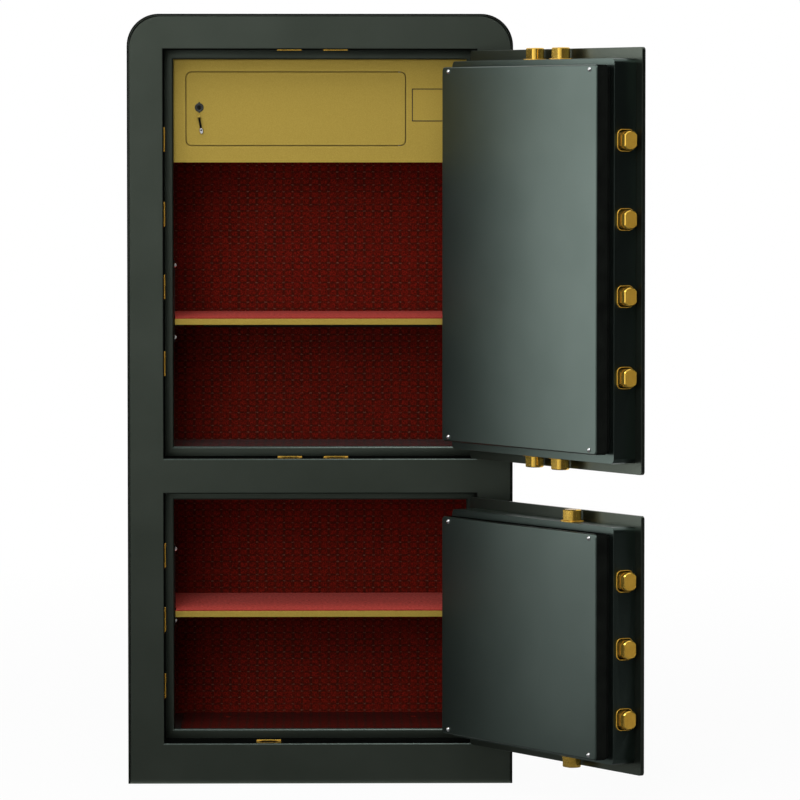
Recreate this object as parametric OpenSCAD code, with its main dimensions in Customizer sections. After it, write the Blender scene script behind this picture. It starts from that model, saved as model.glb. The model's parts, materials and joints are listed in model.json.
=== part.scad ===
// Electronic safe with two compartments, one over the other, each behind its own door.
// Both doors are drawn swung open, as the safe stands when it is shown.
// The origin is the centre of the base. X runs to the right seen from the front, Y to the back, Z up.
// All sizes are millimetres.

/* [Cabinet] */
// Width of the cabinet
cab_w = 600; // [560:10:680]
// Height of the cabinet
cab_h = 1200; // [1150:10:1400]
// Depth of the cabinet without doors
cab_d = 460; // [440:10:560]
// Radius of the two upper corners
corner_r = 50; // [20:1:50]
// Sheet thickness of the wrap, the back and the base
shell_t = 3; // [2:0.5:4]

/* [Front frame] */
// Width of the frame beside the openings
side_rail = 56.5; // [55:0.5:70]
// Height of the frame over the upper opening
top_rail = 55; // [54:0.5:70]
// Height of the frame between the openings
mid_rail = 54.5; // [54:0.5:80]
// Height of the frame under the lower opening
bottom_rail = 63; // [54:0.5:90]
// Height of the lower opening
lower_open_h = 391; // [380:1:420]
// Sheet thickness of the frame's face
face_t = 3; // [2:0.5:4]
// Sheet thickness of the jambs
jamb_t = 2; // [1:0.5:3]
// Depth of the jambs, from the face to the stop ledge
jamb_d = 74; // [72:1:80]
// Width of the stop ledge at the sides of each opening
ledge_w = 14; // [8:0.5:16]
// Height of the stop ledge at the top and bottom of each opening
ledge_h = 15; // [8:0.5:16]
// Sheet thickness of the stop ledge
ledge_t = 2; // [1:0.5:3]

/* [Compartments] */
// How far the compartment walls stand in from the edge of the opening
wall_step = 4; // [2:0.5:6]
// Depth of the compartment's back wall behind the front face
inner_d = 402; // [380:1:410]
// Sheet thickness of the liner
liner_t = 1; // [0.6:0.1:1.5]
// Thickness of the felt on the back walls
felt_t = 1.5; // [1:0.5:3]
// Thickness of the floor mats
mat_t = 3; // [1:0.5:4]
// Bare steel left at the sides of the lower floor mat
mat_inset = 17.5; // [4:0.5:30]
// Bare steel left behind the lower floor mat
mat_back = 13; // [4:1:30]
// Radius of the anchor holes in the floor
anchor_r = 7; // [4:0.5:9]
// Distance between the anchor holes from side to side
anchor_x = 300; // [200:10:360]
// Distance between the anchor holes from front to back
anchor_y = 180; // [100:10:220]

/* [Shelves] */
// Depth of a shelf's front edge behind the front face
shelf_front = 84; // [80:1:120]
// Height of the upper shelf's underside over the base
upper_shelf_z = 714; // [713.2:0.2:718.6]
// Height of the lower shelf's underside over the base
lower_shelf_z = 253.4; // [252.6:0.2:257]
// Height of a shelf's folded edge
shelf_h = 9.7; // [6:0.1:20]
// Sheet thickness of a shelf
shelf_t = 1.2; // [0.8:0.1:2]
// Width of a shelf's lip under its folded edge
shelf_lip = 16; // [10:1:30]
// Thickness of the mat on a shelf
shelf_mat_t = 1.6; // [1:0.1:3]
// Gap between a shelf and the rails at its sides
shelf_gap = 0.8; // [0.4:0.1:2]
// Gap between a shelf and the felt behind it
shelf_back_gap = 3; // [1:0.5:8]
// Depth of the shelf rails' channel, out of the wall
rail_out = 10.5; // [8:0.5:12]
// Width of the shelf rails
rail_w = 20; // [16:1:30]
// Sheet thickness of the shelf rails
rail_t = 1.5; // [1:0.1:2]
// Height of the shelf rails
rail_h = 128.5; // [128:0.1:129]
// Height of the upper rails' lower end over the base
upper_rail_z = 686; // [685.5:0.1:686.8]
// Height of the lower rails' lower end over the base
lower_rail_z = 238; // [237.5:0.1:238.8]
// Depth of the rails' front edge behind the front face
rail_front = 104; // [90:1:160]
// Distance from a rail's end to its screw
rail_screw_inset = 7.5; // [7:0.1:7.6]
// Distance from a rail's upper screw to its first slot
slot_first = 17; // [16.8:0.1:17.2]
// Distance from slot to slot
slot_pitch = 12.6; // [12.55:0.01:12.62]
// Number of slots in a rail
slot_count = 8; // [4:1:8]
// Height of a slot
slot_h = 8.6; // [8:0.1:8.6]
// Width of a slot
slot_w = 6; // [4:0.5:10]
// Radius of the rails' dome-headed screws
rail_screw_r = 3.75; // [3:0.25:5]
// Length of the angle that carries a shelf's back edge
angle_l = 380; // [200:10:420]

/* [Locker] */
// Depth of the locker's face behind the front face
locker_front = 90; // [86:1:120]
// Height of the locker over its own underside
locker_h = 172; // [150:1:200]
// Depth of the locker
locker_d = 240; // [150:10:280]
// Sheet thickness of the locker
locker_t = 1.5; // [1:0.1:2]
// Width of the locker's door
locker_door_w = 343; // [280:1:380]
// Height of the locker's door
locker_door_h = 114; // [90:1:125]
// Distance from the compartment's left wall to the locker's door
locker_door_in = 30; // [20:1:40]
// Distance from the locker's underside to its door
locker_door_up = 27; // [15:1:30]
// Corner radius of the locker's door
locker_door_r = 8; // [4:0.5:12]
// Gap all round the locker's door
locker_gap = 1; // [0.6:0.1:2]
// Depth of the locker door's folded rim
locker_rim = 12; // [10:1:14]
// Radius of the locker door's hinge pins
locker_pin_r = 2; // [1.5:0.1:2.5]
// Radius of the locker's lock
locker_lock_r = 7; // [6:0.5:9]
// Distance from the locker door's left edge to its lock
lock_in = 20; // [16:1:30]
// Distance from the locker door's upper edge to its lock
lock_down = 55; // [30:1:60]

/* [Doors] */
// Gap all round a closed door
door_gap = 3; // [3:0.1:4]
// Angle that both doors stand open at
open_angle = 120; // [90:1:150]
// Thickness of the door's outer plate
plate_t = 6; // [4:0.5:8]
// Corner radius of the door's outer plate
plate_r = 5; // [2:0.5:10]
// Edge of the plate left beside the bolt case on its bolt sides
case_in = 16.5; // [15:0.5:20]
// Edge of the plate left beside the bolt case at the hinges
case_in_hinge = 8; // [5:0.5:12]
// Depth of the bolt case
case_d = 38; // [34:0.5:42]
// Sheet thickness of the bolt case
case_t = 2; // [1:0.5:2.5]
// Corner radius of the bolt case
case_r = 8; // [4:0.5:12]
// Width of the bolt case's rim round its open face
case_rim = 26; // [26:1:30]
// Depth of the cover's neck, which leaves a dark slot round it
neck_d = 5; // [2:0.5:6]
// How far the neck stands in from the cover's edge
neck_in = 3; // [1:0.5:3]
// Depth of the raised cover
cover_d = 20; // [10:0.5:21]
// Sheet thickness of the cover
cover_t = 1.5; // [1:0.1:2]
// Corner radius of the cover
cover_r = 6; // [4:0.5:8]
// Plate edge left beside the cover at the hinges
cover_in_hinge = 18.5; // [15:0.5:22]
// Plate edge left beside the cover at the free side
cover_in_free = 26; // [23:0.5:28]
// Plate edge left beside the cover at its upper end
cover_in_top = 26; // [23:0.5:28]
// Plate edge left under the upper door's cover
upper_cover_in_bottom = 30; // [23:0.5:32]
// Plate edge left under the lower door's cover
lower_cover_in_bottom = 23.5; // [23:0.5:28]
// Distance from the cover's side edges to its screws
screw_in_u = 19; // [10:0.5:24]
// Distance from the cover's upper and lower edges to its screws
screw_in_z = 7; // [6:0.5:12]
// Radius of the cover screws' domes
screw_dome_r = 3.75; // [3:0.25:5]
// Radius of the cover screws' shanks
screw_r = 1.7; // [1:0.1:2]

/* [Hinges] */
// Distance from the door's edge to the hinge axis, to the side
hinge_side = 10; // [8:0.5:14]
// Distance from the front face to the hinge axis, to the front
hinge_out = 20.5; // [18:0.5:26]
// Radius of the hinge barrels
barrel_r = 11; // [9:0.5:11.5]
// Radius of the hinge pins
pin_r = 5; // [4:0.5:6]
// Running clearance of the hinge pins
pin_gap = 0.05; // [0.02:0.01:0.1]
// Height of one hinge
hinge_h = 84; // [70:1:100]
// Height of one outer knuckle
knuckle_h = 26; // [20:1:30]
// Thickness of the washers between the knuckles
washer_t = 1; // [0.8:0.1:2]
// Gap between a washer and a knuckle
washer_gap = 0.1; // [0.05:0.05:0.3]
// Thickness of the hinge leaves
leaf_t = 6; // [4:0.5:8]
// Width of the hinge leaves
leaf_w = 36; // [20:1:38]
// Distance from a door's ends to the middle of its hinges
hinge_in = 75; // [60:1:100]

/* [Bolts] */
// Radius of the round bolts
bolt_r = 14.2; // [12:0.1:14.5]
// Width of the bolts over their two flats
bolt_flat = 22.7; // [18:0.1:24]
// Depth of the bolts' middle behind the door's outer face
bolt_depth = 24.5; // [24:0.5:26]
// Length of a bolt
bolt_l = 56; // [50:1:60]
// Bevel at a bolt's tip
bolt_bevel = 1.5; // [0.5:0.5:3]
// How far a drawn-back side bolt stays behind the plate's edge
side_bolt_in = 0.5; // [0.5:0.5:3]
// How far a drawn-back upper or lower bolt stands out past the plate's edge
end_bolt_out = 1.5; // [0:0.5:2]
// Throw of the bolts
bolt_throw = 20; // [16:1:20]
// Clearance of a bolt in the bolt case
bolt_gap = 0.3; // [0.1:0.1:0.6]
// Heights of the upper door's side bolts over the door's lower edge
upper_bolt_z = [143.5, 263.5, 377, 493.5];
// Heights of the lower door's side bolts over the door's lower edge
lower_bolt_z = [83.5, 188, 288.5];
// Distances of the upper door's end bolts from its free edge
upper_end_bolt_u = [265, 193];
// Distances of the lower door's end bolts from its free edge
lower_end_bolt_u = [159.5];
// Thickness of the carriage bars that join the bolts
bar_t = 8; // [5:1:8]
// Width of the carriage bars
bar_w = 20; // [14:1:24]
// How far a carriage bar runs on past its last bolt
bar_over = 18; // [15:1:18]
// Height of a bolt ring
ring_h = 34; // [32:0.5:36]
// Width of a bolt ring
ring_w = 30; // [28:0.5:32]
// Gap between a bolt and its ring
ring_gap = 0.8; // [0.3:0.1:1.5]
// Thickness of a bolt ring
ring_t = 1.5; // [1:0.5:2]
// Length of a keeper's flange in the jamb
keeper_h = 40; // [38:0.5:42]
// Width of a keeper's flange in the jamb
keeper_w = 32; // [32:0.5:34]
// How far a keeper's flange stands out of the jamb
keeper_out = 0.5; // [0.2:0.1:0.5]
// Clearance of a bolt in its keeper
keeper_gap = 1.3; // [0.5:0.1:1.5]
// Wall of a keeper's sleeve
keeper_t = 1.5; // [1:0.1:1.5]
// Depth of a keeper's sleeve in the jamb
keeper_d = 24; // [21:1:25]

/* [Lock] */
// Distance of the lock and handle from the door's free edge
lock_u = 111; // [109:1:121]
// Height of the upper door's handle over its lower edge
upper_handle_z = 235; // [200:1:240]
// Height of the lower door's handle over its lower edge
lower_handle_z = 112; // [108:1:116]
// Height of the upper door's lock housing over its lower edge, at the middle
upper_lock_z = 395; // [380:1:420]
// Height of the lower door's lock housing over its lower edge, at the middle
lower_lock_z = 265; // [262:1:275]
// Width of the lock housing
housing_w = 92; // [84:1:100]
// Height of the lock housing
housing_h = 170; // [160:1:180]
// Thickness of the lock housing
housing_t = 18; // [12:1:24]
// Corner radius of the lock housing
housing_r = 14; // [6:1:20]
// Width of the touch panel
panel_w = 74; // [60:1:78]
// Height of the touch panel
panel_h = 98; // [80:1:104]
// Thickness of the touch panel
panel_t = 2; // [1:0.5:3]
// Distance from the lock housing's upper edge to the touch panel
panel_down = 9; // [6:1:12]
// Distance from the lock housing's lower edge to the key cylinder
key_up = 28; // [24:1:30]
// Radius of the cable hole behind the lock housing
cable_r = 6; // [4:0.5:8]
// Distance from the lock housing's middle up to the cable hole
cable_up = 20; // [10:1:40]
// Radius of the key cylinder
key_r = 8.5; // [7:0.5:9]
// Distance from the key cylinder to the pivot of its cover
key_cover_up = 19; // [17:1:20]
// Radius of the key cover
key_cover_r = 13; // [12:0.5:14]
// Thickness of the key cover
key_cover_t = 2.5; // [1.5:0.5:3]
// Radius of the handle's rose
rose_r = 27; // [22:1:32]
// Thickness of the handle's rose
rose_t = 8; // [5:1:12]
// Radius of the handle's hub
hub_r = 14; // [11:0.5:16]
// Length of the hub in front of the rose
hub_l = 34; // [28:1:45]
// Length of the lever from the hub's axis
lever_l = 100; // [80:1:110]
// Distance from the hub's front to the lever
lever_down = 3; // [1:0.5:5]
// Radius of the lever
lever_r = 8; // [6:0.5:9]
// Radius of the handle's spindle
spindle_r = 8; // [6:0.5:9]
// Turn of the handle that throws the bolts
handle_turn = 70; // [60:5:90]
// Radius of the cam on the spindle
cam_r = 26; // [20:1:28]
// Thickness of the cam on the spindle
cam_plate_t = 6; // [4:0.5:8]
// Radius of the solenoid's plunger
plunger_r = 4; // [3:0.5:4.5]
// Travel of the solenoid's plunger
plunger_travel = 8; // [6:1:9]
// Height of the upper door's blocking tab over its lower edge
upper_tab_z = 440; // [430:1:450]
// Height of the lower door's blocking tab over its lower edge
lower_tab_z = 240; // [236:1:250]
// Height of the solenoid
solenoid_h = 44; // [36:1:46]
// Distance of the battery box from the door's hinge edge
battery_u = 150; // [60:1:170]
// Width of the battery box
battery_w = 72; // [50:1:80]
// Height of the battery box
battery_h = 110; // [80:1:120]
// Depth of the battery box
battery_d = 24; // [16:1:32]

/* [Hidden] */
$fn = 64;
eps = 0.01;

// Paints and finishes
body_green = [0.17, 0.19, 0.16];
edge_green = [0.22, 0.25, 0.22];
gold_paint = [0.65, 0.57, 0.27];
bolt_gold = [0.72, 0.55, 0.18];
felt_red = [0.27, 0.06, 0.03];
mat_red = [0.58, 0.23, 0.19];
steel_grey = [0.55, 0.56, 0.55];
bright_steel = [0.82, 0.83, 0.84];
fill_grey = [0.72, 0.71, 0.68];
black = [0.06, 0.06, 0.07];

// Front to back
front_y = -cab_d / 2;
ledge_y = front_y + jamb_d;
liner_y = ledge_y + ledge_t;
wall_y = front_y + inner_d;
felt_y = wall_y - felt_t;

// Openings, from the lower one to the upper one
open_w = cab_w - 2 * side_rail;
open_z = [bottom_rail, bottom_rail + lower_open_h + mid_rail];
open_h = [lower_open_h, cab_h - top_rail - open_z[1]];
room_w = open_w - 2 * wall_step;
board_gap = 0.5;
function room_z(i) = open_z[i] + wall_step;
function room_h(i) = open_h[i] - 2 * wall_step;

// Doors, from the lower one to the upper one
door_w = open_w - 2 * door_gap;
door_edge_x = open_w / 2 - door_gap;
axis_x = door_edge_x + hinge_side;
axis_y = front_y - hinge_out;
bolt_z = [lower_bolt_z, upper_bolt_z];
end_bolt_at = [[for (u = lower_end_bolt_u) door_w - u], [for (u = upper_end_bolt_u) door_w - u]];
lock_at = door_w - lock_u;
handle_z = [lower_handle_z, upper_handle_z];
lock_z = [lower_lock_z, upper_lock_z];
tab_z = [lower_tab_z, upper_tab_z];
cover_bottom = [lower_cover_in_bottom, upper_cover_in_bottom];
case_y = plate_t + case_d;
neck_y = case_y + neck_d;
cover_y = neck_y + cover_d;
function door_z(i) = open_z[i] + door_gap;
function door_h(i) = open_h[i] - 2 * door_gap;
boss_r = 3;
function hinge_z(i) = [hinge_in - hinge_h / 2, door_h(i) - hinge_in - hinge_h / 2];

web_w = 16;
web_gap = 1;
leaf_in = 3;
head_in = 2;
head_h = 4;
washer_in = 1;

// Bolt work inside a door
side_bar_u = door_w - side_bolt_in - bolt_l - bar_t;
tab_t = 4;
tab_l = 40;
tab_w = 13;
plunger_u = side_bar_u - 12;
plunger_tip_gap = 0.5;
solenoid_w = 22;
solenoid_d = 31;
solenoid_gap = 8;
solenoid_floor = 6;

// Shelves
shelf_z = [lower_shelf_z, upper_shelf_z];
rail_z = [lower_rail_z, upper_rail_z];
rail_x = room_w / 2 - rail_out;
shelf_w = 2 * (rail_x - shelf_gap);
shelf_y0 = front_y + shelf_front;
shelf_y1 = felt_y - shelf_back_gap;
clip_t = 3;
clip_out = 14;
clip_hook = 2;
clip_gap = 0.2;
angle_leg = 15;
angle_t = 1.5;

// Locker
locker_z = room_z(1) + room_h(1) - locker_h;
locker_y = front_y + locker_front;
locker_door_x = -room_w / 2 + locker_door_in;
locker_door_z = locker_z + locker_door_up;
rim_in = 12;
rim_w = locker_door_w - 2 * rim_in;
rim_h = locker_door_h - 2 * rim_in;
locker_axis_in = locker_door_r + locker_gap;
locker_axis_depth = 3.8;
locker_axis_y = locker_y + locker_axis_depth;
locker_lug_w = 10;
locker_lug_t = 3;
locker_block = [4, 4, 12];
locker_block_z = 6;
cam_gap = 0.6;
cam_t = 2;
cam_w = 10;
cam_l = 28;
catch_in = 2;
catch_w = 10;
catch_h = 24;
key_slot = [1.8, 6];
plug_out = 1.6;
plug_in = 2.5;
barrel_in = 1.5;
collar_t = 2;
locker_lock_x = locker_door_x + lock_in;
locker_lock_z = locker_door_z + locker_door_h - lock_down;
pull_top = [locker_lock_x - 0.5, locker_lock_z - 14];
pull_drop = 28;
pull_tilt = 10;
pull_out = 6;
pull_pin_r = 1.2;
name_plate_in = 17.5;
name_plate_gap = 10.5;
name_plate_h = 52;
name_plate_up = 6;
name_plate_t = 0.6;
name_plate_x = locker_door_x + locker_door_w + name_plate_gap;
name_plate_w = room_w / 2 - name_plate_in - name_plate_x;

// Keypad and key parts
panel_r = 6;
pivot_r = 2;
pivot_head = [2, 1.6];
pivot_eye = 3.5;
key_in = 12;
tail = [10, 15, 4];
tail_up = 2;
key_way = [2.4, 9, 6];
pivot_gap = 0.05;
lever_end = 5;
key_gap = 0.05;
cover_lift = 0.3;

// Flat outlines

module round_rect(w, h, r) {
    translate([r, 0]) square([w - 2 * r, h]);
    translate([0, r]) square([w, h - 2 * r]);
    for (x = [r, w - r]) for (y = [r, h - r]) translate([x, y]) circle(r);
}

module arched_rect(w, h, r) {
    translate([-w / 2, 0]) square([w, h - r]);
    translate([-w / 2 + r, 0]) square([w - 2 * r, h]);
    for (x = [-w / 2 + r, w / 2 - r]) translate([x, h - r]) circle(r);
}

module bolt_outline(grow) {
    intersection() {
        circle(bolt_r + grow);
        square([bolt_flat + 2 * grow, 2 * (bolt_r + grow)], center = true);
    }
}

// Stands a drawing made in XZ up, so that it runs from y0 over a depth d
module upright(y0, d) {
    translate([0, y0 + d, 0]) rotate([90, 0, 0]) linear_extrude(d) children();
}

// A dome on a short flat rim, its back at the origin, pointing along Z
module dome(r, h) {
    ball_r = (r * r + h * h) / (2 * h);
    intersection() {
        translate([0, 0, h - ball_r]) sphere(ball_r);
        cylinder(r = r, h = h);
    }
}

// Keeper places in the jambs: position and turn of each bolt's way into the cabinet

module at_keepers(i) {
    for (z = bolt_z[i])
        translate([-open_w / 2, front_y + bolt_depth, door_z(i) + z])
            rotate([0, -90, 0]) rotate(90) children();
    for (u = end_bolt_at[i]) {
        translate([door_edge_x - u, front_y + bolt_depth, open_z[i] + open_h[i]]) rotate(90) children();
        translate([door_edge_x - u, front_y + bolt_depth, open_z[i]])
            rotate([0, 180, 0]) rotate(90) children();
    }
}

// The bolt's outline, with its flats to the front and the back, drawn along its way
module keeper_way(grow, from, to) {
    translate([0, 0, from]) linear_extrude(to - from) bolt_outline(grow);
}

// Cabinet

module outer_wrap() {
    color(body_green) upright(front_y, cab_d) difference() {
        arched_rect(cab_w, cab_h, corner_r);
        translate([0, -eps]) arched_rect(cab_w - 2 * shell_t, cab_h - shell_t + eps, corner_r - shell_t);
    }
}

module back_plate() {
    color(body_green) upright(cab_d / 2 - shell_t, shell_t) translate([0, shell_t])
        arched_rect(cab_w - 2 * shell_t, cab_h - 2 * shell_t, corner_r - shell_t);
}

module anchor_holes(z0, z1) {
    for (x = [-anchor_x / 2, anchor_x / 2]) for (y = [-anchor_y / 2, anchor_y / 2])
        translate([x, y, z0]) cylinder(r = anchor_r, h = z1 - z0);
}

module base_plate() {
    color(body_green) difference() {
        translate([-cab_w / 2 + shell_t, front_y, 0]) cube([cab_w - 2 * shell_t, cab_d, shell_t]);
        anchor_holes(-1, shell_t + 1);
    }
}

module front_frame() {
    color(body_green) difference() {
        union() {
            upright(front_y, face_t) translate([0, shell_t])
                arched_rect(cab_w - 2 * shell_t, cab_h - 2 * shell_t, corner_r - shell_t);
            for (i = [0, 1])
                translate([-open_w / 2 - jamb_t, front_y, open_z[i] - jamb_t])
                    cube([open_w + 2 * jamb_t, jamb_d + ledge_t, open_h[i] + 2 * jamb_t]);
        }
        for (i = [0, 1]) {
            translate([-open_w / 2, front_y - 1, open_z[i]])
                cube([open_w, jamb_d + ledge_t + 2, open_h[i]]);
            at_keepers(i) keeper_way(keeper_gap + keeper_t, -1, jamb_t + 1);
        }
    }
}

module stop_ledges() {
    color(body_green) for (i = [0, 1]) {
        for (z = [open_z[i], open_z[i] + open_h[i] - ledge_h])
            translate([-open_w / 2, ledge_y, z]) cube([open_w, ledge_t, ledge_h]);
        for (x = [-open_w / 2, open_w / 2 - ledge_w])
            translate([x, ledge_y, open_z[i] + ledge_h]) cube([ledge_w, ledge_t, open_h[i] - 2 * ledge_h]);
    }
}

// Boards of fill stand between the wrap and the compartments, a narrow joint apart
module fill_side(s) {
    inner = open_w / 2 + jamb_t;
    upright(front_y + face_t, wall_y + liner_t - front_y - face_t - board_gap) scale([s, 1]) {
        translate([inner, shell_t]) square([cab_w / 2 - shell_t - inner, cab_h - shell_t - corner_r]);
        translate([inner, shell_t]) square([cab_w / 2 - corner_r - inner, cab_h - 2 * shell_t]);
        intersection() {
            translate([cab_w / 2 - corner_r, cab_h - corner_r]) circle(corner_r - shell_t);
            translate([inner, cab_h - 2 * corner_r]) square([2 * corner_r, 2 * corner_r]);
        }
    }
}

module fill_across(z0, z1) {
    half = open_w / 2 + jamb_t - board_gap;
    translate([-half, front_y + face_t, z0])
        cube([2 * half, wall_y + liner_t - front_y - face_t - board_gap, z1 - z0]);
}

module fire_fill() {
    color(fill_grey) {
        difference() {
            fill_side(-1);
            for (i = [0, 1]) at_keepers(i) keeper_way(keeper_gap + keeper_t, 0, keeper_d);
        }
        fill_side(1);
        difference() {
            union() {
                fill_across(shell_t, open_z[0] - jamb_t);
                fill_across(open_z[0] + open_h[0] + jamb_t, open_z[1] - jamb_t);
                fill_across(open_z[1] + open_h[1] + jamb_t, cab_h - shell_t);
            }
            for (i = [0, 1]) at_keepers(i) keeper_way(keeper_gap + keeper_t, 0, keeper_d);
            anchor_holes(0, bottom_rail);
        }
        upright(wall_y + liner_t, cab_d / 2 - shell_t - wall_y - liner_t) translate([0, shell_t])
            arched_rect(cab_w - 2 * shell_t, cab_h - 2 * shell_t, corner_r - shell_t);
    }
}

module compartment_liners() {
    color(steel_grey) for (i = [0, 1]) difference() {
        translate([-room_w / 2 - liner_t, liner_y, room_z(i) - liner_t])
            cube([room_w + 2 * liner_t, wall_y + liner_t - liner_y, room_h(i) + 2 * liner_t]);
        translate([-room_w / 2, liner_y - 1, room_z(i)])
            cube([room_w, wall_y - liner_y + 1, room_h(i)]);
        if (i == 0) anchor_holes(room_z(i) - 2 * liner_t, room_z(i) + 1);
    }
}

module bolt_keepers() {
    color(bolt_gold) for (i = [0, 1]) at_keepers(i) difference() {
        union() {
            translate([-keeper_w / 2, -keeper_h / 2, -keeper_out])
                linear_extrude(keeper_out) round_rect(keeper_w, keeper_h, 9);
            keeper_way(keeper_gap + keeper_t, -keeper_out, keeper_d);
        }
        keeper_way(keeper_gap, -2 * keeper_out, keeper_d + 1);
    }
}

module back_felts() {
    color(felt_red) for (i = [0, 1])
        translate([-room_w / 2, felt_y, room_z(i)]) cube([room_w, felt_t, room_h(i)]);
}

module floor_mats() {
    color(mat_red) {
        difference() {
            translate([-room_w / 2 + mat_inset, liner_y, room_z(0)])
                cube([room_w - 2 * mat_inset, felt_y - mat_back - liner_y, mat_t]);
            anchor_holes(room_z(0) - 1, room_z(0) + mat_t + 1);
        }
        translate([-room_w / 2, liner_y, room_z(1)]) cube([room_w, felt_y - liner_y, mat_t]);
    }
}

// Shelves

module at_rails(i) {
    for (s = [0, 1]) mirror([s, 0, 0])
        translate([rail_x, front_y + rail_front, rail_z[i]]) children();
}

module shelf_rails() {
    color(steel_grey) for (i = [0, 1]) at_rails(i) difference() {
        cube([rail_out, rail_w, rail_h]);
        translate([rail_t, rail_t, -1]) cube([rail_out, rail_w - 2 * rail_t, rail_h + 2]);
        for (k = [0 : slot_count - 1])
            translate([-1, (rail_w - slot_w) / 2,
                       rail_h - rail_screw_inset - slot_first - k * slot_pitch - slot_h / 2])
                cube([rail_t + 2, slot_w, slot_h]);
    }
}

module rail_screws() {
    color(bright_steel) for (i = [0, 1]) at_rails(i)
        for (z = [rail_screw_inset, rail_h - rail_screw_inset])
            translate([0, rail_w / 2, z]) rotate([0, -90, 0]) dome(rail_screw_r, 0.8 * rail_screw_r);
}

// Each clip hooks into a slot and stands out under the shelf's side
module shelf_clips() {
    color(steel_grey) for (i = [0, 1]) {
        for (s = [0, 1]) mirror([s, 0, 0])
            translate([rail_x - clip_out, front_y + rail_front + (rail_w - slot_w) / 2 + clip_gap,
                       shelf_z[i] - clip_t])
                cube([clip_out + rail_t + clip_hook, slot_w - 2 * clip_gap, clip_t]);
        translate([-angle_l / 2, felt_y - angle_leg, shelf_z[i] - angle_t])
            cube([angle_l, angle_leg, angle_t]);
        translate([-angle_l / 2, felt_y - angle_t, shelf_z[i] - angle_leg])
            cube([angle_l, angle_t, angle_leg]);
    }
}

// A folded tray, open below
module shelf(i) {
    color(gold_paint) difference() {
        translate([-shelf_w / 2, shelf_y0, shelf_z[i]]) cube([shelf_w, shelf_y1 - shelf_y0, shelf_h]);
        translate([-shelf_w / 2 + shelf_t, shelf_y0 + shelf_t, shelf_z[i] + shelf_t])
            cube([shelf_w - 2 * shelf_t, shelf_y1 - shelf_y0 - 2 * shelf_t, shelf_h - 2 * shelf_t]);
        translate([-shelf_w / 2 + shelf_lip, shelf_y0 + shelf_lip, shelf_z[i] - 1])
            cube([shelf_w - 2 * shelf_lip, shelf_y1 - shelf_y0 - 2 * shelf_lip, shelf_t + 2]);
    }
}

module upper_shelf() shelf(1);

module lower_shelf() shelf(0);

module shelf_mats() {
    color(mat_red) for (i = [0, 1])
        translate([-shelf_w / 2, shelf_y0, shelf_z[i] + shelf_h])
            cube([shelf_w, shelf_y1 - shelf_y0, shelf_mat_t]);
}

// Hinges, each with two knuckles on the frame and one on the door

module at_hinges(i) {
    for (z = hinge_z(i)) translate([axis_x, axis_y, door_z(i) + z]) children();
}

module frame_hinges() {
    color(body_green) for (i = [0, 1]) at_hinges(i) difference() {
        union() {
            for (z = [0, hinge_h - knuckle_h]) translate([0, 0, z]) {
                cylinder(r = barrel_r, h = knuckle_h);
                cube([barrel_r, hinge_out, knuckle_h]);
            }
            translate([leaf_in, hinge_out - leaf_t, 0]) cube([leaf_w, leaf_t, hinge_h]);
        }
        translate([0, 0, -1]) cylinder(r = pin_r, h = hinge_h + 2);
    }
}

module hinge_pins() {
    color(bright_steel) for (i = [0, 1]) at_hinges(i) {
        cylinder(r = pin_r, h = hinge_h);
        translate([0, 0, hinge_h]) dome(barrel_r - head_in, head_h);
        rotate([180, 0, 0]) dome(barrel_r - head_in, head_h);
        for (z = [knuckle_h, hinge_h - knuckle_h - washer_t])
            translate([0, 0, z]) difference() {
                cylinder(r = barrel_r - washer_in, h = washer_t);
                translate([0, 0, -1]) cylinder(r = pin_r, h = washer_t + 2);
            }
    }
}

// Locker

module locker_case() {
    gap_x = locker_door_x - locker_gap;
    gap_z = locker_door_z - locker_gap;
    color(gold_paint) difference() {
        union() {
            difference() {
                translate([-room_w / 2, locker_y, locker_z]) cube([room_w, locker_d, locker_h]);
                translate([-room_w / 2 + locker_t, locker_y + locker_t, locker_z + locker_t])
                    cube([room_w - 2 * locker_t, locker_d - 2 * locker_t, locker_h - 2 * locker_t]);
            }
            for (z = [locker_door_z - locker_gap - locker_lug_t,
                      locker_door_z + locker_door_h + locker_gap])
                translate([locker_door_x + locker_door_w - locker_axis_in - locker_lug_w / 2, locker_y, z])
                    cube([locker_lug_w, locker_axis_depth + locker_lug_w / 2, locker_lug_t]);
            translate([locker_door_x - catch_in - catch_w, locker_y, locker_lock_z - catch_h / 2])
                cube([catch_w, locker_rim, catch_h]);
        }
        upright(locker_y - 1, locker_t + 2) translate([gap_x, gap_z])
            round_rect(locker_door_w + 2 * locker_gap, locker_door_h + 2 * locker_gap,
                       locker_door_r + locker_gap);
        at_locker_axis() translate([0, 0, -locker_gap - locker_lug_t - 1])
            cylinder(r = locker_pin_r, h = locker_door_h + 2 * (locker_gap + locker_lug_t + 1));
    }
}

module at_locker_axis() {
    translate([locker_door_x + locker_door_w - locker_axis_in, locker_axis_y, locker_door_z]) children();
}

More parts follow.
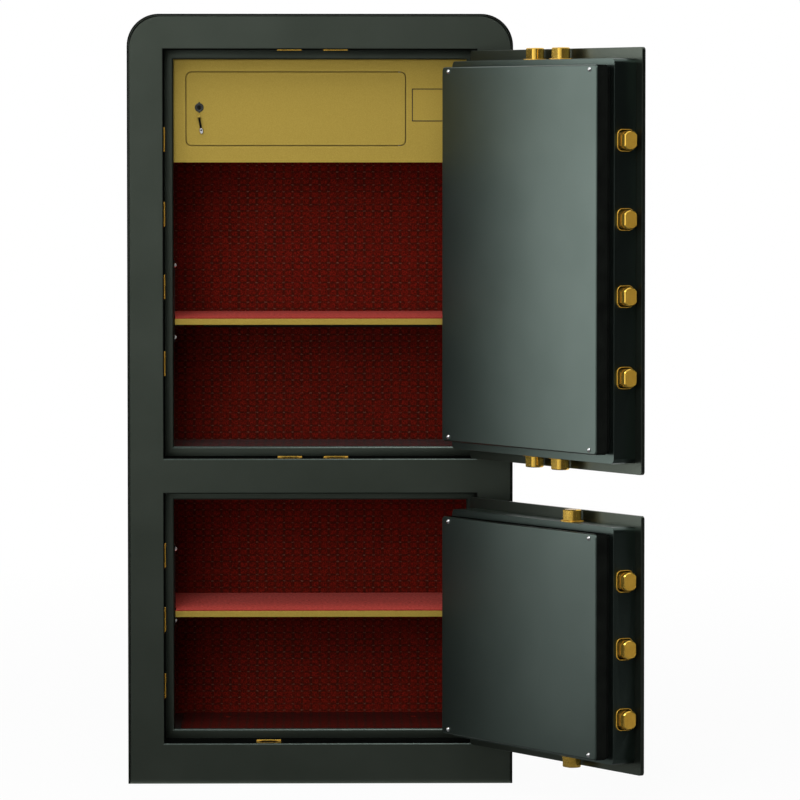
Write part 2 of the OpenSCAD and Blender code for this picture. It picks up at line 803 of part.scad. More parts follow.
module locker_door() {
    color(gold_paint) difference() {
        union() {
            upright(locker_y, locker_t) translate([locker_door_x, locker_door_z])
                round_rect(locker_door_w, locker_door_h, locker_door_r);
            for (z = [locker_block_z, locker_door_h - locker_block_z - locker_block[2]])
                at_locker_axis() translate([-locker_block[0], locker_t / 2 - locker_axis_depth, z])
                    cube([2 * locker_block[0], locker_block[1] + locker_axis_depth - locker_t / 2,
                          locker_block[2]]);
            at_pull_pivot() {
                for (x = [-3.6, 2.2]) translate([x, -2.2, -2.2]) cube([1.4, pull_out + 2.2, 4.4]);
                translate([-3.6, 0, 0]) rotate([0, 90, 0]) cylinder(r = pull_pin_r, h = 7.2);
            }
            translate([locker_door_x + rim_in, locker_y, locker_door_z + rim_in]) difference() {
                cube([rim_w, locker_rim, rim_h]);
                translate([locker_t, -1, locker_t])
                    cube([rim_w - 2 * locker_t, locker_rim + 2, rim_h - 2 * locker_t]);
            }
        }
        at_locker_axis() translate([0, 0, -1]) cylinder(r = locker_pin_r + pin_gap, h = locker_door_h + 2);
        translate([locker_lock_x, locker_y - 1, locker_lock_z]) rotate([-90, 0, 0])
            cylinder(r = locker_lock_r - barrel_in, h = locker_t + 2);
    }
}

module locker_hinge_pins() {
    reach = locker_gap + locker_lug_t;
    pin_l = reach + locker_block_z + locker_block[2];
    color(bright_steel) at_locker_axis()
        for (z = [-reach, locker_door_h + reach - pin_l])
            translate([0, 0, z]) cylinder(r = locker_pin_r, h = pin_l);
}

module at_locker_lock() {
    translate([locker_lock_x, locker_y, locker_lock_z]) rotate([90, 0, 0]) children();
}

// The lock's housing: a collar in front, a threaded body behind, bored for the plug
module locker_lock() {
    color(steel_grey) at_locker_lock() difference() {
        union() {
            cylinder(r = locker_lock_r, h = collar_t);
            translate([0, 0, -locker_rim])
                cylinder(r = locker_lock_r - barrel_in, h = locker_rim);
        }
        translate([0, 0, -locker_rim - 1])
            cylinder(r = locker_lock_r - plug_in + key_gap, h = locker_rim + collar_t + 2);
    }
}

// The plug carries a cam, which hangs down while the locker is unlocked
module locker_key_plug() {
    back = -locker_rim - cam_gap;
    color(bright_steel) at_locker_lock() difference() {
        union() {
            translate([0, 0, back]) cylinder(r = locker_lock_r - plug_in, h = plug_out - back);
            translate([-cam_w / 2, -cam_l, back - cam_t]) cube([cam_w, cam_l + cam_w / 2, cam_t]);
        }
        translate([-key_slot[0] / 2, -key_slot[1] / 2, plug_out - key_slot[1]])
            cube([key_slot[0], key_slot[1], key_slot[1] + 1]);
    }
}

module at_pull_pivot() {
    translate([pull_top[0], locker_y - pull_out, pull_top[1]]) rotate([0, -pull_tilt, 0]) children();
}

// A thin arm that hangs from a small lug on the door and ends in a flattened finger tip
module locker_pull() {
    color(bright_steel) at_pull_pivot() {
        rotate([0, 90, 0]) translate([0, 0, -2]) difference() {
            union() {
                cylinder(r = 2.6, h = 4);
                translate([1.8, -1, 0.8]) cube([pull_drop - 8.3, 2, 2.4]);
            }
            translate([0, 0, -1]) cylinder(r = pull_pin_r + pin_gap, h = 6);
        }
        translate([0, 1, -pull_drop + 5]) rotate([90, 0, 0]) difference() {
            union() {
                cylinder(r = 2.6, h = 2);
                translate([-2.6, 0, 0]) cube([5.2, 5, 2]);
            }
            translate([0, 2, -1]) cylinder(r = 0.9, h = 4);
        }
    }
}

// The blank plate beside the door
module locker_plate() {
    color(gold_paint) translate([name_plate_x, locker_y - name_plate_t,
                                 locker_door_z + (locker_door_h - name_plate_h) / 2 + name_plate_up])
        cube([name_plate_w, name_plate_t, name_plate_h]);
}

// Doors. A door is drawn closed: X runs from its hinge edge to minus its width, Y into the safe, Z up.

module on_door(i) {
    translate([axis_x, axis_y, 0]) rotate(open_angle)
        translate([door_edge_x - axis_x, front_y - axis_y, door_z(i)]) children();
}

// Ways of a door's bolts: Z points out of the door, the origin is on the plate's edge
module at_side_bolts(i) {
    for (z = bolt_z[i]) translate([-door_w, bolt_depth, z]) rotate([0, -90, 0]) rotate(90) children();
}

module at_top_bolts(i) {
    for (u = end_bolt_at[i]) translate([-u, bolt_depth, door_h(i)]) rotate(90) children();
}

module at_bottom_bolts(i) {
    for (u = end_bolt_at[i]) translate([-u, bolt_depth, 0]) rotate([0, 180, 0]) rotate(90) children();
}

module at_all_bolts(i) {
    at_side_bolts(i) children();
    at_top_bolts(i) children();
    at_bottom_bolts(i) children();
}

module at_lock(i, z) {
    translate([-lock_at, 0, z]) rotate([90, 0, 0]) children();
}

function key_z(i) = lock_z[i] - housing_h / 2 + key_up;

module door_plate(i) {
    color(body_green) on_door(i) difference() {
        upright(0, plate_t) translate([-door_w, 0]) round_rect(door_w, door_h(i), plate_r);
        at_lock(i, handle_z[i]) translate([0, 0, -plate_t - 1])
            cylinder(r = spindle_r + pin_gap, h = plate_t + 2);
        at_lock(i, key_z(i)) translate([0, 0, -plate_t - 1])
            cylinder(r = key_r + key_gap, h = plate_t + 2);
        at_lock(i, lock_z[i] + cable_up) translate([0, 0, -plate_t - 1])
            cylinder(r = cable_r, h = plate_t + 2);
    }
    color(body_green) on_door(i) for (z = hinge_z(i)) door_knuckle(z);
}

// The door's leaf of one hinge lies on the plate's outer face
module door_knuckle(z) {
    mid_z = z + knuckle_h + washer_t + washer_gap;
    mid_h = hinge_h - 2 * (knuckle_h + washer_t + washer_gap);
    translate([hinge_side, -hinge_out, 0]) difference() {
        union() {
            translate([0, 0, mid_z]) {
                cylinder(r = barrel_r, h = mid_h);
                translate([-web_w, 0, 0]) cube([web_w, hinge_out - web_gap, mid_h]);
            }
            translate([-hinge_side - leaf_w, hinge_out - leaf_t, z]) cube([leaf_w, leaf_t, hinge_h]);
        }
        translate([0, 0, mid_z - 1]) cylinder(r = pin_r + pin_gap, h = mid_h + 2);
    }
}

function cover_x0() = -door_w + cover_in_free;
function cover_w() = door_w - cover_in_free - cover_in_hinge;
function cover_h(i) = door_h(i) - cover_bottom[i] - cover_in_top;

module at_cover_screws(i) {
    for (x = [cover_x0() + screw_in_u, -cover_in_hinge - screw_in_u])
        for (z = [cover_bottom[i] + screw_in_z, door_h(i) - cover_in_top - screw_in_z])
            translate([x, case_y, z]) rotate([-90, 0, 0]) children();
}

module bolt_case(i) {
    w = door_w - case_in - case_in_hinge;
    h = door_h(i) - 2 * case_in;
    color(edge_green) on_door(i) difference() {
        union() {
            difference() {
                upright(plate_t, case_d) translate([-door_w + case_in, case_in]) round_rect(w, h, case_r);
                upright(plate_t - 1, case_d - case_t + 1)
                    translate([-door_w + case_in + case_t, case_in + case_t])
                        round_rect(w - 2 * case_t, h - 2 * case_t, case_r - case_t);
                upright(plate_t, case_d + 1) translate([-door_w + case_in + case_rim, case_in + case_rim])
                    round_rect(w - 2 * case_rim, h - 2 * case_rim, case_r);
            }
            at_cover_screws(i) cylinder(r = boss_r, h = neck_d + cover_d - cover_t);
        }
        at_cover_screws(i) translate([0, 0, -case_t - 1])
            cylinder(r = screw_r, h = case_t + neck_d + cover_d + 2);
        at_all_bolts(i) translate([0, 0, -case_in - case_t - 1]) linear_extrude(case_t + 2)
            bolt_outline(bolt_gap);
    }
}

module cover(i) {
    x0 = cover_x0();
    w = cover_w();
    h = cover_h(i);
    color(edge_green) on_door(i) difference() {
        union() {
            upright(neck_y, cover_d) translate([x0, cover_bottom[i]]) round_rect(w, h, cover_r);
            upright(case_y, neck_d) translate([x0 + neck_in, cover_bottom[i] + neck_in])
                round_rect(w - 2 * neck_in, h - 2 * neck_in, cover_r);
        }
        upright(case_y - 1, neck_d + cover_d + 1 - cover_t)
            translate([x0 + neck_in + cover_t, cover_bottom[i] + neck_in + cover_t])
                round_rect(w - 2 * (neck_in + cover_t), h - 2 * (neck_in + cover_t), cover_r - cover_t);
        at_cover_screws(i) cylinder(r = screw_r, h = neck_d + cover_d + 1);
        at_cover_screws(i) translate([0, 0, -1]) cylinder(r = boss_r, h = neck_d + cover_d - cover_t + 1);
    }
}

module cover_screws(i) {
    color(bright_steel) on_door(i) at_cover_screws(i) {
        translate([0, 0, -case_t]) cylinder(r = screw_r, h = case_t + neck_d + cover_d);
        translate([0, 0, neck_d + cover_d]) dome(screw_dome_r, 0.75 * screw_dome_r);
    }
}

module bolt_rings(i) {
    color(bolt_gold) on_door(i) at_all_bolts(i) translate([0, 0, -case_in]) difference() {
        linear_extrude(ring_t) translate([-ring_w / 2, -ring_h / 2]) round_rect(ring_w, ring_h, 8);
        translate([0, 0, -1]) linear_extrude(ring_t + 2) bolt_outline(ring_gap);
    }
}

// A bolt whose tip lies at the height out along Z
module bolt(out) {
    intersection() {
        translate([0, 0, out - bolt_l]) linear_extrude(bolt_l) bolt_outline(0);
        translate([0, 0, out - bolt_l]) rotate_extrude() polygon([
            [0, 0], [bolt_r + 1, 0], [bolt_r + 1, bolt_l - bolt_bevel - 1],
            [bolt_r - bolt_bevel, bolt_l], [0, bolt_l]
        ]);
    }
}

function last(list) = list[len(list) - 1];

module side_bolts(i) {
    z0 = bolt_z[i][0] - bar_over;
    z1 = last(bolt_z[i]) + bar_over;
    color(bolt_gold) on_door(i) {
        at_side_bolts(i) bolt(-side_bolt_in);
        translate([-side_bar_u - bar_t, bolt_depth - bar_w / 2, z0]) cube([bar_t, bar_w, z1 - z0]);
        difference() {
            translate([-side_bar_u, bolt_depth - tab_w / 2, tab_z[i]]) cube([tab_l, tab_w, tab_t]);
            for (u = [plunger_u, plunger_u - bolt_throw])
                translate([-u, bolt_depth, tab_z[i] - 1]) cylinder(r = plunger_r + 0.5, h = tab_t + 2);
        }
    }
}

module end_bar(i, z) {
    x0 = -last(end_bolt_at[i]) - bar_over;
    x1 = -end_bolt_at[i][0] + bar_over;
    translate([x0, bolt_depth - bar_w / 2, z]) cube([x1 - x0, bar_w, bar_t]);
}

module top_bolts(i) {
    color(bolt_gold) on_door(i) {
        at_top_bolts(i) bolt(end_bolt_out);
        end_bar(i, door_h(i) + end_bolt_out - bolt_l - bar_t);
    }
}

module bottom_bolts(i) {
    color(bolt_gold) on_door(i) {
        at_bottom_bolts(i) bolt(end_bolt_out);
        end_bar(i, bolt_l - end_bolt_out);
    }
}

// The lever points down when the bolts are drawn back, and level when they are thrown
module handle(i) {
    color(bright_steel) on_door(i) at_lock(i, handle_z[i]) {
        translate([0, 0, rose_t + cover_lift]) cylinder(r = hub_r, h = hub_l);
        rotate(-handle_turn) translate([0, 0, rose_t + cover_lift + hub_l - lever_r - lever_down])
            rotate([0, 90, 0]) {
                cylinder(r = lever_r, h = lever_l - lever_end);
                translate([0, 0, lever_l - lever_end]) dome(lever_r, lever_end);
            }
        translate([0, 0, -bolt_depth]) cylinder(r = spindle_r, h = bolt_depth + rose_t + cover_lift);
        translate([0, 0, -bolt_depth - cam_plate_t / 2]) cylinder(r = cam_r, h = cam_plate_t);
    }
}

module handle_rose(i) {
    color(steel_grey) on_door(i) at_lock(i, handle_z[i]) difference() {
        cylinder(r = rose_r, h = rose_t);
        translate([0, 0, -1]) cylinder(r = spindle_r + pin_gap, h = rose_t + 2);
    }
}

module lock_housing(i) {
    low = lock_z[i] - housing_h / 2;
    color(black) on_door(i) {
        difference() {
            upright(-housing_t, housing_t) translate([-lock_at - housing_w / 2, low])
                round_rect(housing_w, housing_h, housing_r);
            upright(-housing_t - 1, panel_t + 1)
                translate([-lock_at - panel_w / 2, low + housing_h - panel_down - panel_h])
                    round_rect(panel_w, panel_h, panel_r);
            at_lock(i, key_z(i)) translate([0, 0, -1]) cylinder(r = key_r + key_gap, h = housing_t + 2);
        }
        at_lock(i, key_z(i) + key_cover_up) {
            translate([0, 0, housing_t]) cylinder(r = pivot_r, h = key_cover_t + 2 * cover_lift);
            translate([0, 0, housing_t + key_cover_t + 2 * cover_lift])
                dome(pivot_r + pivot_head[0], pivot_head[1]);
        }
    }
}

module touch_panel(i) {
    low = lock_z[i] - housing_h / 2;
    color([0.1, 0.1, 0.12]) on_door(i) upright(-housing_t, panel_t)
        translate([-lock_at - panel_w / 2, low + housing_h - panel_down - panel_h])
            round_rect(panel_w, panel_h, panel_r);
}

module key_cylinder(i) {
    color(bright_steel) on_door(i) at_lock(i, key_z(i)) difference() {
        union() {
            translate([0, 0, -plate_t - key_in])
                cylinder(r = key_r, h = housing_t + plate_t + key_in);
            translate([-tail[0] / 2, -tail[1], -plate_t - key_in + tail_up]) cube(tail);
        }
        translate([-key_way[0] / 2, -key_way[1] / 2, housing_t - key_way[2]])
            cube([key_way[0], key_way[1], key_way[2] + 1]);
    }
}

module key_cover(i) {
    color(bright_steel) on_door(i) at_lock(i, key_z(i)) translate([0, 0, housing_t + cover_lift]) {
        difference() {
            union() {
                cylinder(r = key_cover_r, h = key_cover_t);
                translate([0, key_cover_up, 0]) cylinder(r = pivot_r + pivot_eye, h = key_cover_t);
                translate([-pivot_r - pivot_eye, 0, 0])
                    cube([2 * (pivot_r + pivot_eye), key_cover_up, key_cover_t]);
            }
            translate([0, key_cover_up, -1]) cylinder(r = pivot_r + pivot_gap, h = key_cover_t + 2);
        }
    }
}

module solenoid(i) {
    top = tab_z[i] - solenoid_gap;
    color(steel_grey) on_door(i) difference() {
        translate([-plunger_u - solenoid_w / 2, plate_t, top - solenoid_h])
            cube([solenoid_w, solenoid_d, solenoid_h]);
        translate([-plunger_u, bolt_depth, top - solenoid_h + solenoid_floor])
            cylinder(r = plunger_r + key_gap, h = solenoid_h);
    }
}

module plunger(i) {
    top = tab_z[i] - plunger_tip_gap;
    foot = tab_z[i] - solenoid_gap - solenoid_h + solenoid_floor + cover_lift;
    color(bright_steel) on_door(i) translate([-plunger_u, bolt_depth, foot])
        cylinder(r = plunger_r, h = top - foot);
}

module battery_box(i) {
    color(black) on_door(i) translate([-battery_u - battery_w, plate_t, (door_h(i) - battery_h) / 2])
        cube([battery_w, battery_d, battery_h]);
}

module upper_door_plate() door_plate(1);
module upper_bolt_case() bolt_case(1);
module upper_cover() cover(1);
module upper_cover_screws() cover_screws(1);
module upper_bolt_rings() bolt_rings(1);
module upper_side_bolts() side_bolts(1);
module upper_top_bolts() top_bolts(1);
module upper_bottom_bolts() bottom_bolts(1);
module upper_handle() handle(1);
module upper_handle_rose() handle_rose(1);
module upper_lock_housing() lock_housing(1);
module upper_touch_panel() touch_panel(1);
module upper_key_cylinder() key_cylinder(1);
module upper_key_cover() key_cover(1);
module upper_solenoid() solenoid(1);
module upper_plunger() plunger(1);
module upper_battery_box() battery_box(1);

module lower_door_plate() door_plate(0);
module lower_bolt_case() bolt_case(0);
module lower_cover() cover(0);
module lower_cover_screws() cover_screws(0);
module lower_bolt_rings() bolt_rings(0);
module lower_side_bolts() side_bolts(0);
module lower_top_bolts() top_bolts(0);
module lower_bottom_bolts() bottom_bolts(0);
module lower_handle() handle(0);
module lower_handle_rose() handle_rose(0);
module lower_lock_housing() lock_housing(0);
module lower_touch_panel() touch_panel(0);
module lower_key_cylinder() key_cylinder(0);
module lower_key_cover() key_cover(0);
module lower_solenoid() solenoid(0);
module lower_plunger() plunger(0);
module lower_battery_box() battery_box(0);

outer_wrap();
back_plate();
base_plate();
front_frame();
stop_ledges();
fire_fill();
compartment_liners();
bolt_keepers();
back_felts();
floor_mats();
shelf_rails();
rail_screws();
shelf_clips();
upper_shelf();
lower_shelf();
shelf_mats();
frame_hinges();
hinge_pins();
locker_case();
locker_door();
locker_hinge_pins();
locker_lock();
locker_key_plug();
locker_pull();
locker_plate();
upper_door_plate();
upper_bolt_case();
upper_cover();
upper_cover_screws();
upper_bolt_rings();
upper_side_bolts();
upper_top_bolts();
upper_bottom_bolts();
upper_handle();
upper_handle_rose();
upper_lock_housing();
upper_touch_panel();
upper_key_cylinder();
upper_key_cover();
upper_solenoid();
upper_plunger();
upper_battery_box();
lower_door_plate();
lower_bolt_case();
lower_cover();
lower_cover_screws();
lower_bolt_rings();
lower_side_bolts();
lower_top_bolts();
lower_bottom_bolts();
lower_handle();
lower_handle_rose();
lower_lock_housing();
lower_touch_panel();
lower_key_cylinder();
lower_key_cover();
lower_solenoid();
lower_plunger();
lower_battery_box();
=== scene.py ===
"""The looks of an electronic safe with two compartments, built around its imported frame.

Lengths are millimetres until a mesh is made, which stores metres. The parts of a door are
drawn as if it were closed: X runs from its hinge edge to minus its width, Y into the safe,
and Z up from its lower edge.
"""
import json
from math import acos, cos, pi, radians, sin

import bmesh
import bpy
from mathutils import Matrix, Vector
from mathutils.geometry import tessellate_polygon


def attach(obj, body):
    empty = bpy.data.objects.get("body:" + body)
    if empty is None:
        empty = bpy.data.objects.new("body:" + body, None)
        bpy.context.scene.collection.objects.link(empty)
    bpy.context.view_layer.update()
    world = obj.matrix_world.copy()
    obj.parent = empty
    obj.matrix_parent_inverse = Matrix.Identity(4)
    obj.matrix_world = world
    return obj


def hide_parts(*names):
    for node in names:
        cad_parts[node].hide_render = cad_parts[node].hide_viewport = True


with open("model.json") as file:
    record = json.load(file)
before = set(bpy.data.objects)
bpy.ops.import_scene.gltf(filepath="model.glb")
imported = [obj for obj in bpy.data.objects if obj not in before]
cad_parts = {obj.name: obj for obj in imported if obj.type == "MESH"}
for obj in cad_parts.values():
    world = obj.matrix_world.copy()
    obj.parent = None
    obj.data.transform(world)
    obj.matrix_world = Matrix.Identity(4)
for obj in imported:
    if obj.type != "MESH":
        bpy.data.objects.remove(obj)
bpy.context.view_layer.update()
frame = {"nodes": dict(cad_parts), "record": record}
nodes = frame["nodes"]

# Cabinet
WIDTH, HEIGHT = 600.0, 1200.0
FRONT, BACK = -230.0, 230.0
CORNER = 50.0
SHEET = 3.0
OPEN_X = 243.5
OPEN_Z = {"lower": (63.0, 454.0), "upper": (508.5, 1145.0)}
LEDGE_Y, LINER_Y, FELT_Y, WALL_Y = -156.0, -154.0, 170.5, 172.0
LEDGE_W, LEDGE_H = 14.0, 15.0
ROOM_X = 239.5
ROOM_Z = {"lower": (67.0, 450.0), "upper": (512.5, 1141.0)}
ANCHORS = [(x, y) for x in (-150.0, 150.0) for y in (-90.0, 90.0)]
ANCHOR_R = 7.0
SHELF_X, SHELF_Y = 228.2, (-146.0, 167.5)
SHELF_TOP = {"lower": 263.1, "upper": 723.7}
MAT, SHELF_MAT, MAT_X, MAT_NOTCH = 3.0, 1.6, 238.5, -100.0
LOW_MAT_MARGIN = (17.5, 13.0)
KEEPER_X, KEEPER_Z, KEEPER_R, KEEPER_UP = 16.0, 19.5, 5.0, 0.15
STOP_IN, STOP_UP = 13.4, 1.7
SLEEVE_T, SLEEVE_L = 1.4, 24.0

# Locker
LOCKER_Y = -140.0
LOCK, PLUG_R, PLUG_OUT, PLUG_BACK, KEYWAY = (-189.5, 1055.0), 4.5, 1.6, 12.6, (2.2, 6.0)
LOCKER_DOOR, LOCKER_DOOR_R, LOCKER_GAP = (-209.5, 996.0, 133.5, 1110.0), 8.0, 1.0
LOCKER_PIN, PIN_R, PIN_Z = (124.5, -136.2), 1.9, ((992.0, 1014.0), (1092.0, 1114.0))
LABEL, LABEL_T, LABEL_BORDER = (144.0, 1033.0, 222.0, 1085.0), 0.6, 1.5
PULL, PULL_OUT, PULL_TILT, PULL_DROP = (-190.0, 1041.0), 6.0, 10.0, 28.0

# Doors
DOOR_W, DOOR_EDGE = 481.0, 240.5
DOOR_Z = {"lower": 66.0, "upper": 511.5}
DOOR_H = {"lower": 385.0, "upper": 630.5}
HINGE = (250.5, -250.5)
OPEN_ANGLE = 120.0
PLATE, CASE_DEPTH, NECK, COVER_DEPTH = 6.0, 38.0, 5.0, 20.0
CASE_IN, CASE_IN_HINGE, CASE_R, CASE_RIM = 16.5, 8.0, 8.0, 26.0
COVER_IN_HINGE, COVER_IN_FREE, COVER_IN_TOP = 18.5, 26.0, 26.0
COVER_IN_BOTTOM = {"lower": 23.5, "upper": 30.0}
COVER_R, NECK_IN = 6.0, 3.0
LOCK_X = -370.0
LOCK_Z = {"lower": 265.0, "upper": 395.0}
HOUSING, PANEL_UP, PANEL_HALF, PANEL_R = 18.0, 27.0, (37.0, 49.0), 6.0
KEY_PITCH, KEY_R, KEY_LINE, KEY_DOT, KEYS_DOWN = (21.0, 19.0), 7.6, 0.8, 1.3, 8.0
LAMP_X, LAMP_UP, LAMP_R, PANEL_LINE = 5.0, 41.0, 1.6, (1.6, 2.2)

# Bolts
BOLT_R, BOLT_FLAT, BOLT_DEPTH = 13.8, 22.0, 24.5
SIDE_BOLTS = {"lower": [83.5, 188.0, 288.5], "upper": [143.5, 263.5, 377.0, 493.5]}
END_BOLTS = {"lower": [321.5], "upper": [216.0, 288.0]}
BOLT_L, BOLT_EDGE, BOLT_THROW, BOLT_PLAY = 56.0, 1.3, 20.0, 1.3
SIDE_IN, END_OUT = 0.5, 1.5
BAR_T, BAR_W, BAR_OVER = 8.0, 20.0, 18.0
TAB_Z = {"lower": 240.0, "upper": 440.0}
TAB_T, TAB_L, TAB_W, TAB_HOLE, PLUNGER_R = 4.0, 40.0, 13.0, 12.0, 4.0
RING, RING_R, RING_LIP, RING_OUT = (29.2, 33.0), 8.8, 1.3, 1.5


# Shapes


def rounded(x0, y0, x1, y1, r, n=8):
    """The outline of a rounded rectangle, anticlockwise from its lower left corner."""
    corners = ((x0 + r, y0 + r, 180), (x1 - r, y0 + r, 270), (x1 - r, y1 - r, 0), (x0 + r, y1 - r, 90))
    points = []
    for cx, cy, start in corners:
        for k in range(n + 1):
            a = radians(start + 90 * k / n)
            points.append((cx + r * cos(a), cy + r * sin(a)))
    return points


def inward(points, amount):
    """An outline moved inwards, square to the chord between each point's neighbours."""
    moved = []
    for k, (x, y) in enumerate(points):
        a, b = points[k - 1], points[(k + 1) % len(points)]
        out = Vector((b[1] - a[1], a[0] - b[0])).normalized()
        moved.append((x - out.x * amount, y - out.y * amount))
    return moved


def circle(x, y, r, n=32):
    return [(x + r * cos(2 * pi * k / n), y + r * sin(2 * pi * k / n)) for k in range(n)]


def bolt_outline(grow=0.0, n=12):
    """A round bolt's outline with its two flats, which face along X."""
    r, half = BOLT_R + grow, BOLT_FLAT / 2 + grow
    first = acos(half / r)
    span = pi - 2 * first
    angles = [start + span * k / n for start in (first, pi + first) for k in range(n + 1)]
    return [(r * cos(a), r * sin(a)) for a in angles]


def arch(inset, foot=0.0, rounder=0.0, n=16):
    """The cabinet's outline without its base, from the lower left over the top to the lower right."""
    x, top, r = WIDTH / 2 - inset, HEIGHT - inset, CORNER - inset + rounder
    points = [(-x, foot)]
    for cx, start in ((-x + r, 180), (x - r, 90)):
        for k in range(n + 1):
            a = radians(start - 90 * k / n)
            points.append((cx + r * cos(a), top - r + r * sin(a)))
    return points + [(x, foot)]


def bend(r, n=5):
    """Steps round a folded edge: how far it has come in, and how far it is still below the face."""
    angles = [pi / 2 * k / n for k in range(n + 1)]
    return [(r * (1 - cos(a)), r * (1 - sin(a))) for a in angles]


def upright(box, inset, r, y):
    """A rounded rectangle that faces the front at one depth, inset from its box."""
    x0, z0, x1, z1 = box
    return [(x, y, z) for x, z in rounded(x0 + inset, z0 + inset, x1 - inset, z1 - inset, r)]


def opening(x, y, z0, z1):
    """The corners of an upright rectangle that faces the front, as wide to both sides."""
    return [(-x, y, z0), (x, y, z0), (x, y, z1), (-x, y, z1)]


def put(name, data):
    """A new object in the scene."""
    obj = bpy.data.objects.new(name, data)
    bpy.context.scene.collection.objects.link(obj)
    return obj


class Shape:
    """Points and the faces between them, with the faces that have the second or the third finish."""

    def __init__(self):
        self.points, self.faces, self.second, self.third = [], [], [], []

    def ring(self, points):
        first = len(self.points)
        self.points += [Vector(p) for p in points]
        return list(range(first, len(self.points)))

    def bridge(self, a, b, closed=True):
        for k in range(len(a) if closed else len(a) - 1):
            n = (k + 1) % len(a)
            self.faces.append((a[k], a[n], b[n], b[k]))

    def loft(self, rings, round_again=False):
        """Bridges each ring to the next one, and the last to the first if asked."""
        for a, b in zip(rings, rings[1:] + rings[:1] if round_again else rings[1:]):
            self.bridge(a, b)

    def flat(self, outlines):
        """A flat face, with a hole for each outline after the first."""
        rings = [self.ring(outline) for outline in outlines]
        index = [i for ring in rings for i in ring]
        for face in tessellate_polygon([[self.points[i] for i in ring] for ring in rings]):
            self.faces.append([index[k] for k in face])
        return rings

    def walls(self, a, b, holes=()):
        """Bridges two rings, and cuts each hole in the long wall whose plane it lies in."""
        for k in range(len(a)):
            n = (k + 1) % len(a)
            quad = (a[k], a[n], b[n], b[k])
            corner, along, up = (self.points[i] for i in (a[k], a[n], b[k]))
            normal = (along - corner).cross(up - corner)
            mine = []
            if (along - corner).length > 20:
                normal.normalize()
                mine = [h for h in holes if abs((Vector(h[0]) - corner).dot(normal)) < 0.5]
            if mine:
                self.flat([[self.points[i] for i in quad]] + mine)
            else:
                self.faces.append(quad)

    def rest_is_second(self, start):
        """Gives the faces made since start the second finish."""
        self.second += range(start, len(self.faces))

    def build(self, name, body, replaces, slot, coats=None, place=Matrix(), facing=None, thick=0.0, angle=35):
        """The finished piece, in its slot's finish or in the named coats. An open sheet gets its thickness
        behind the side that faces out."""
        mesh = bpy.data.meshes.new(name)
        mesh.from_pydata([(place @ p) / 1000 for p in self.points], [], self.faces)
        for index, faces in ((1, self.second), (2, self.third)):
            for k in faces:
                mesh.polygons[k].material_index = index
        work = bmesh.new()
        work.from_mesh(mesh)
        bmesh.ops.remove_doubles(work, verts=work.verts, dist=2e-6)
        bmesh.ops.recalc_face_normals(work, faces=work.faces)
        if facing:
            out = place.to_3x3() @ Vector(facing)
            if sum(f.normal.dot(out) * f.calc_area() for f in work.faces) < 0:
                bmesh.ops.reverse_faces(work, faces=work.faces)
        work.to_mesh(mesh)
        work.free()
        mesh.shade_smooth()
        mesh.set_sharp_from_angle(angle=radians(angle))
        piece = put(name, mesh)
        if thick:
            sheet = piece.modifiers.new("sheet", "SOLIDIFY")
            sheet.thickness, sheet.offset = thick / 1000, -1
        piece.modifiers.new("level faces", "WEIGHTED_NORMAL").keep_sharp = True
        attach(piece, body)
        if replaces:
            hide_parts(*replaces)
        for coat in coats or [slot]:
            mesh.materials.append(FINISH[coat])
        return piece


def as_drawn(x, y, high):
    return (x, y, high)


def plate_between(shape, outline, holes, low, high, lift=as_drawn, edge=0.3):
    """A flat piece between two heights, the rim of its upper face chamfered."""
    bottom = shape.flat([[lift(x, y, low) for x, y in ring] for ring in [outline] + list(holes)])
    side = shape.ring([lift(x, y, high - edge) for x, y in outline])
    top = shape.flat([[lift(x, y, high) for x, y in ring] for ring in [inward(outline, edge)] + list(holes)])
    shape.loft([bottom[0], side, top[0]])
    for a, b in zip(bottom[1:], top[1:]):
        shape.bridge(a, b)


# Materials


def colour(code):
    """A linear colour from an sRGB hex value."""
    parts = [int(code[k : k + 2], 16) / 255 for k in (0, 2, 4)]
    return tuple(c / 12.92 if c <= 0.04045 else ((c + 0.055) / 1.055) ** 2.4 for c in parts) + (1.0,)


def add(tree, kind, inputs=None, stops=None, **settings):
    """Adds a node with its settings, its sockets set or joined, and a ramp's two stops in sRGB hex."""
    node = tree.nodes.new("ShaderNode" + kind)
    for key, value in settings.items():
        setattr(node, key, value)
    for key, value in (inputs or {}).items():
        if isinstance(value, bpy.types.NodeSocket):
            tree.links.new(value, node.inputs[key])
        else:
            node.inputs[key].default_value = value
    if stops:
        for end, (at, code) in zip(node.color_ramp.elements, stops):
            end.position, end.color = at, colour(code)
    return node


def finish(name, base, **sockets):
    """A material with its constant sockets set, and its node tree, shader and place in metres."""
    material = bpy.data.materials.new(name)
    material.use_nodes = True
    tree = material.node_tree
    shader = tree.nodes["Principled BSDF"]
    shader.inputs["Base Color"].default_value = colour(base)
    for key, value in sockets.items():
        shader.inputs[key.replace("_", " ")].default_value = value
    material.diffuse_color = colour(base)
    place = add(tree, "TexCoord").outputs["Object"]
    return material, tree, shader, place


def skin(tree, shader, pattern, tones=None, rough=None, depth=None):
    """Lets a pattern vary a finish: its colour between two tones, its roughness, its relief in millimetres."""
    if tones:
        tint = add(tree, "ValToRGB", {"Fac": pattern}, stops=tones)
        tree.links.new(tint.outputs["Color"], shader.inputs["Base Color"])
    if rough:
        spread = add(tree, "MapRange", {"Value": pattern, "To Min": rough[0], "To Max": rough[1]})
        tree.links.new(spread.outputs["Result"], shader.inputs["Roughness"])
    if depth:
        bump = add(tree, "Bump", {"Height": pattern, "Strength": 1.0, "Distance": depth / 1000})
        tree.links.new(bump.outputs["Normal"], shader.inputs["Normal"])


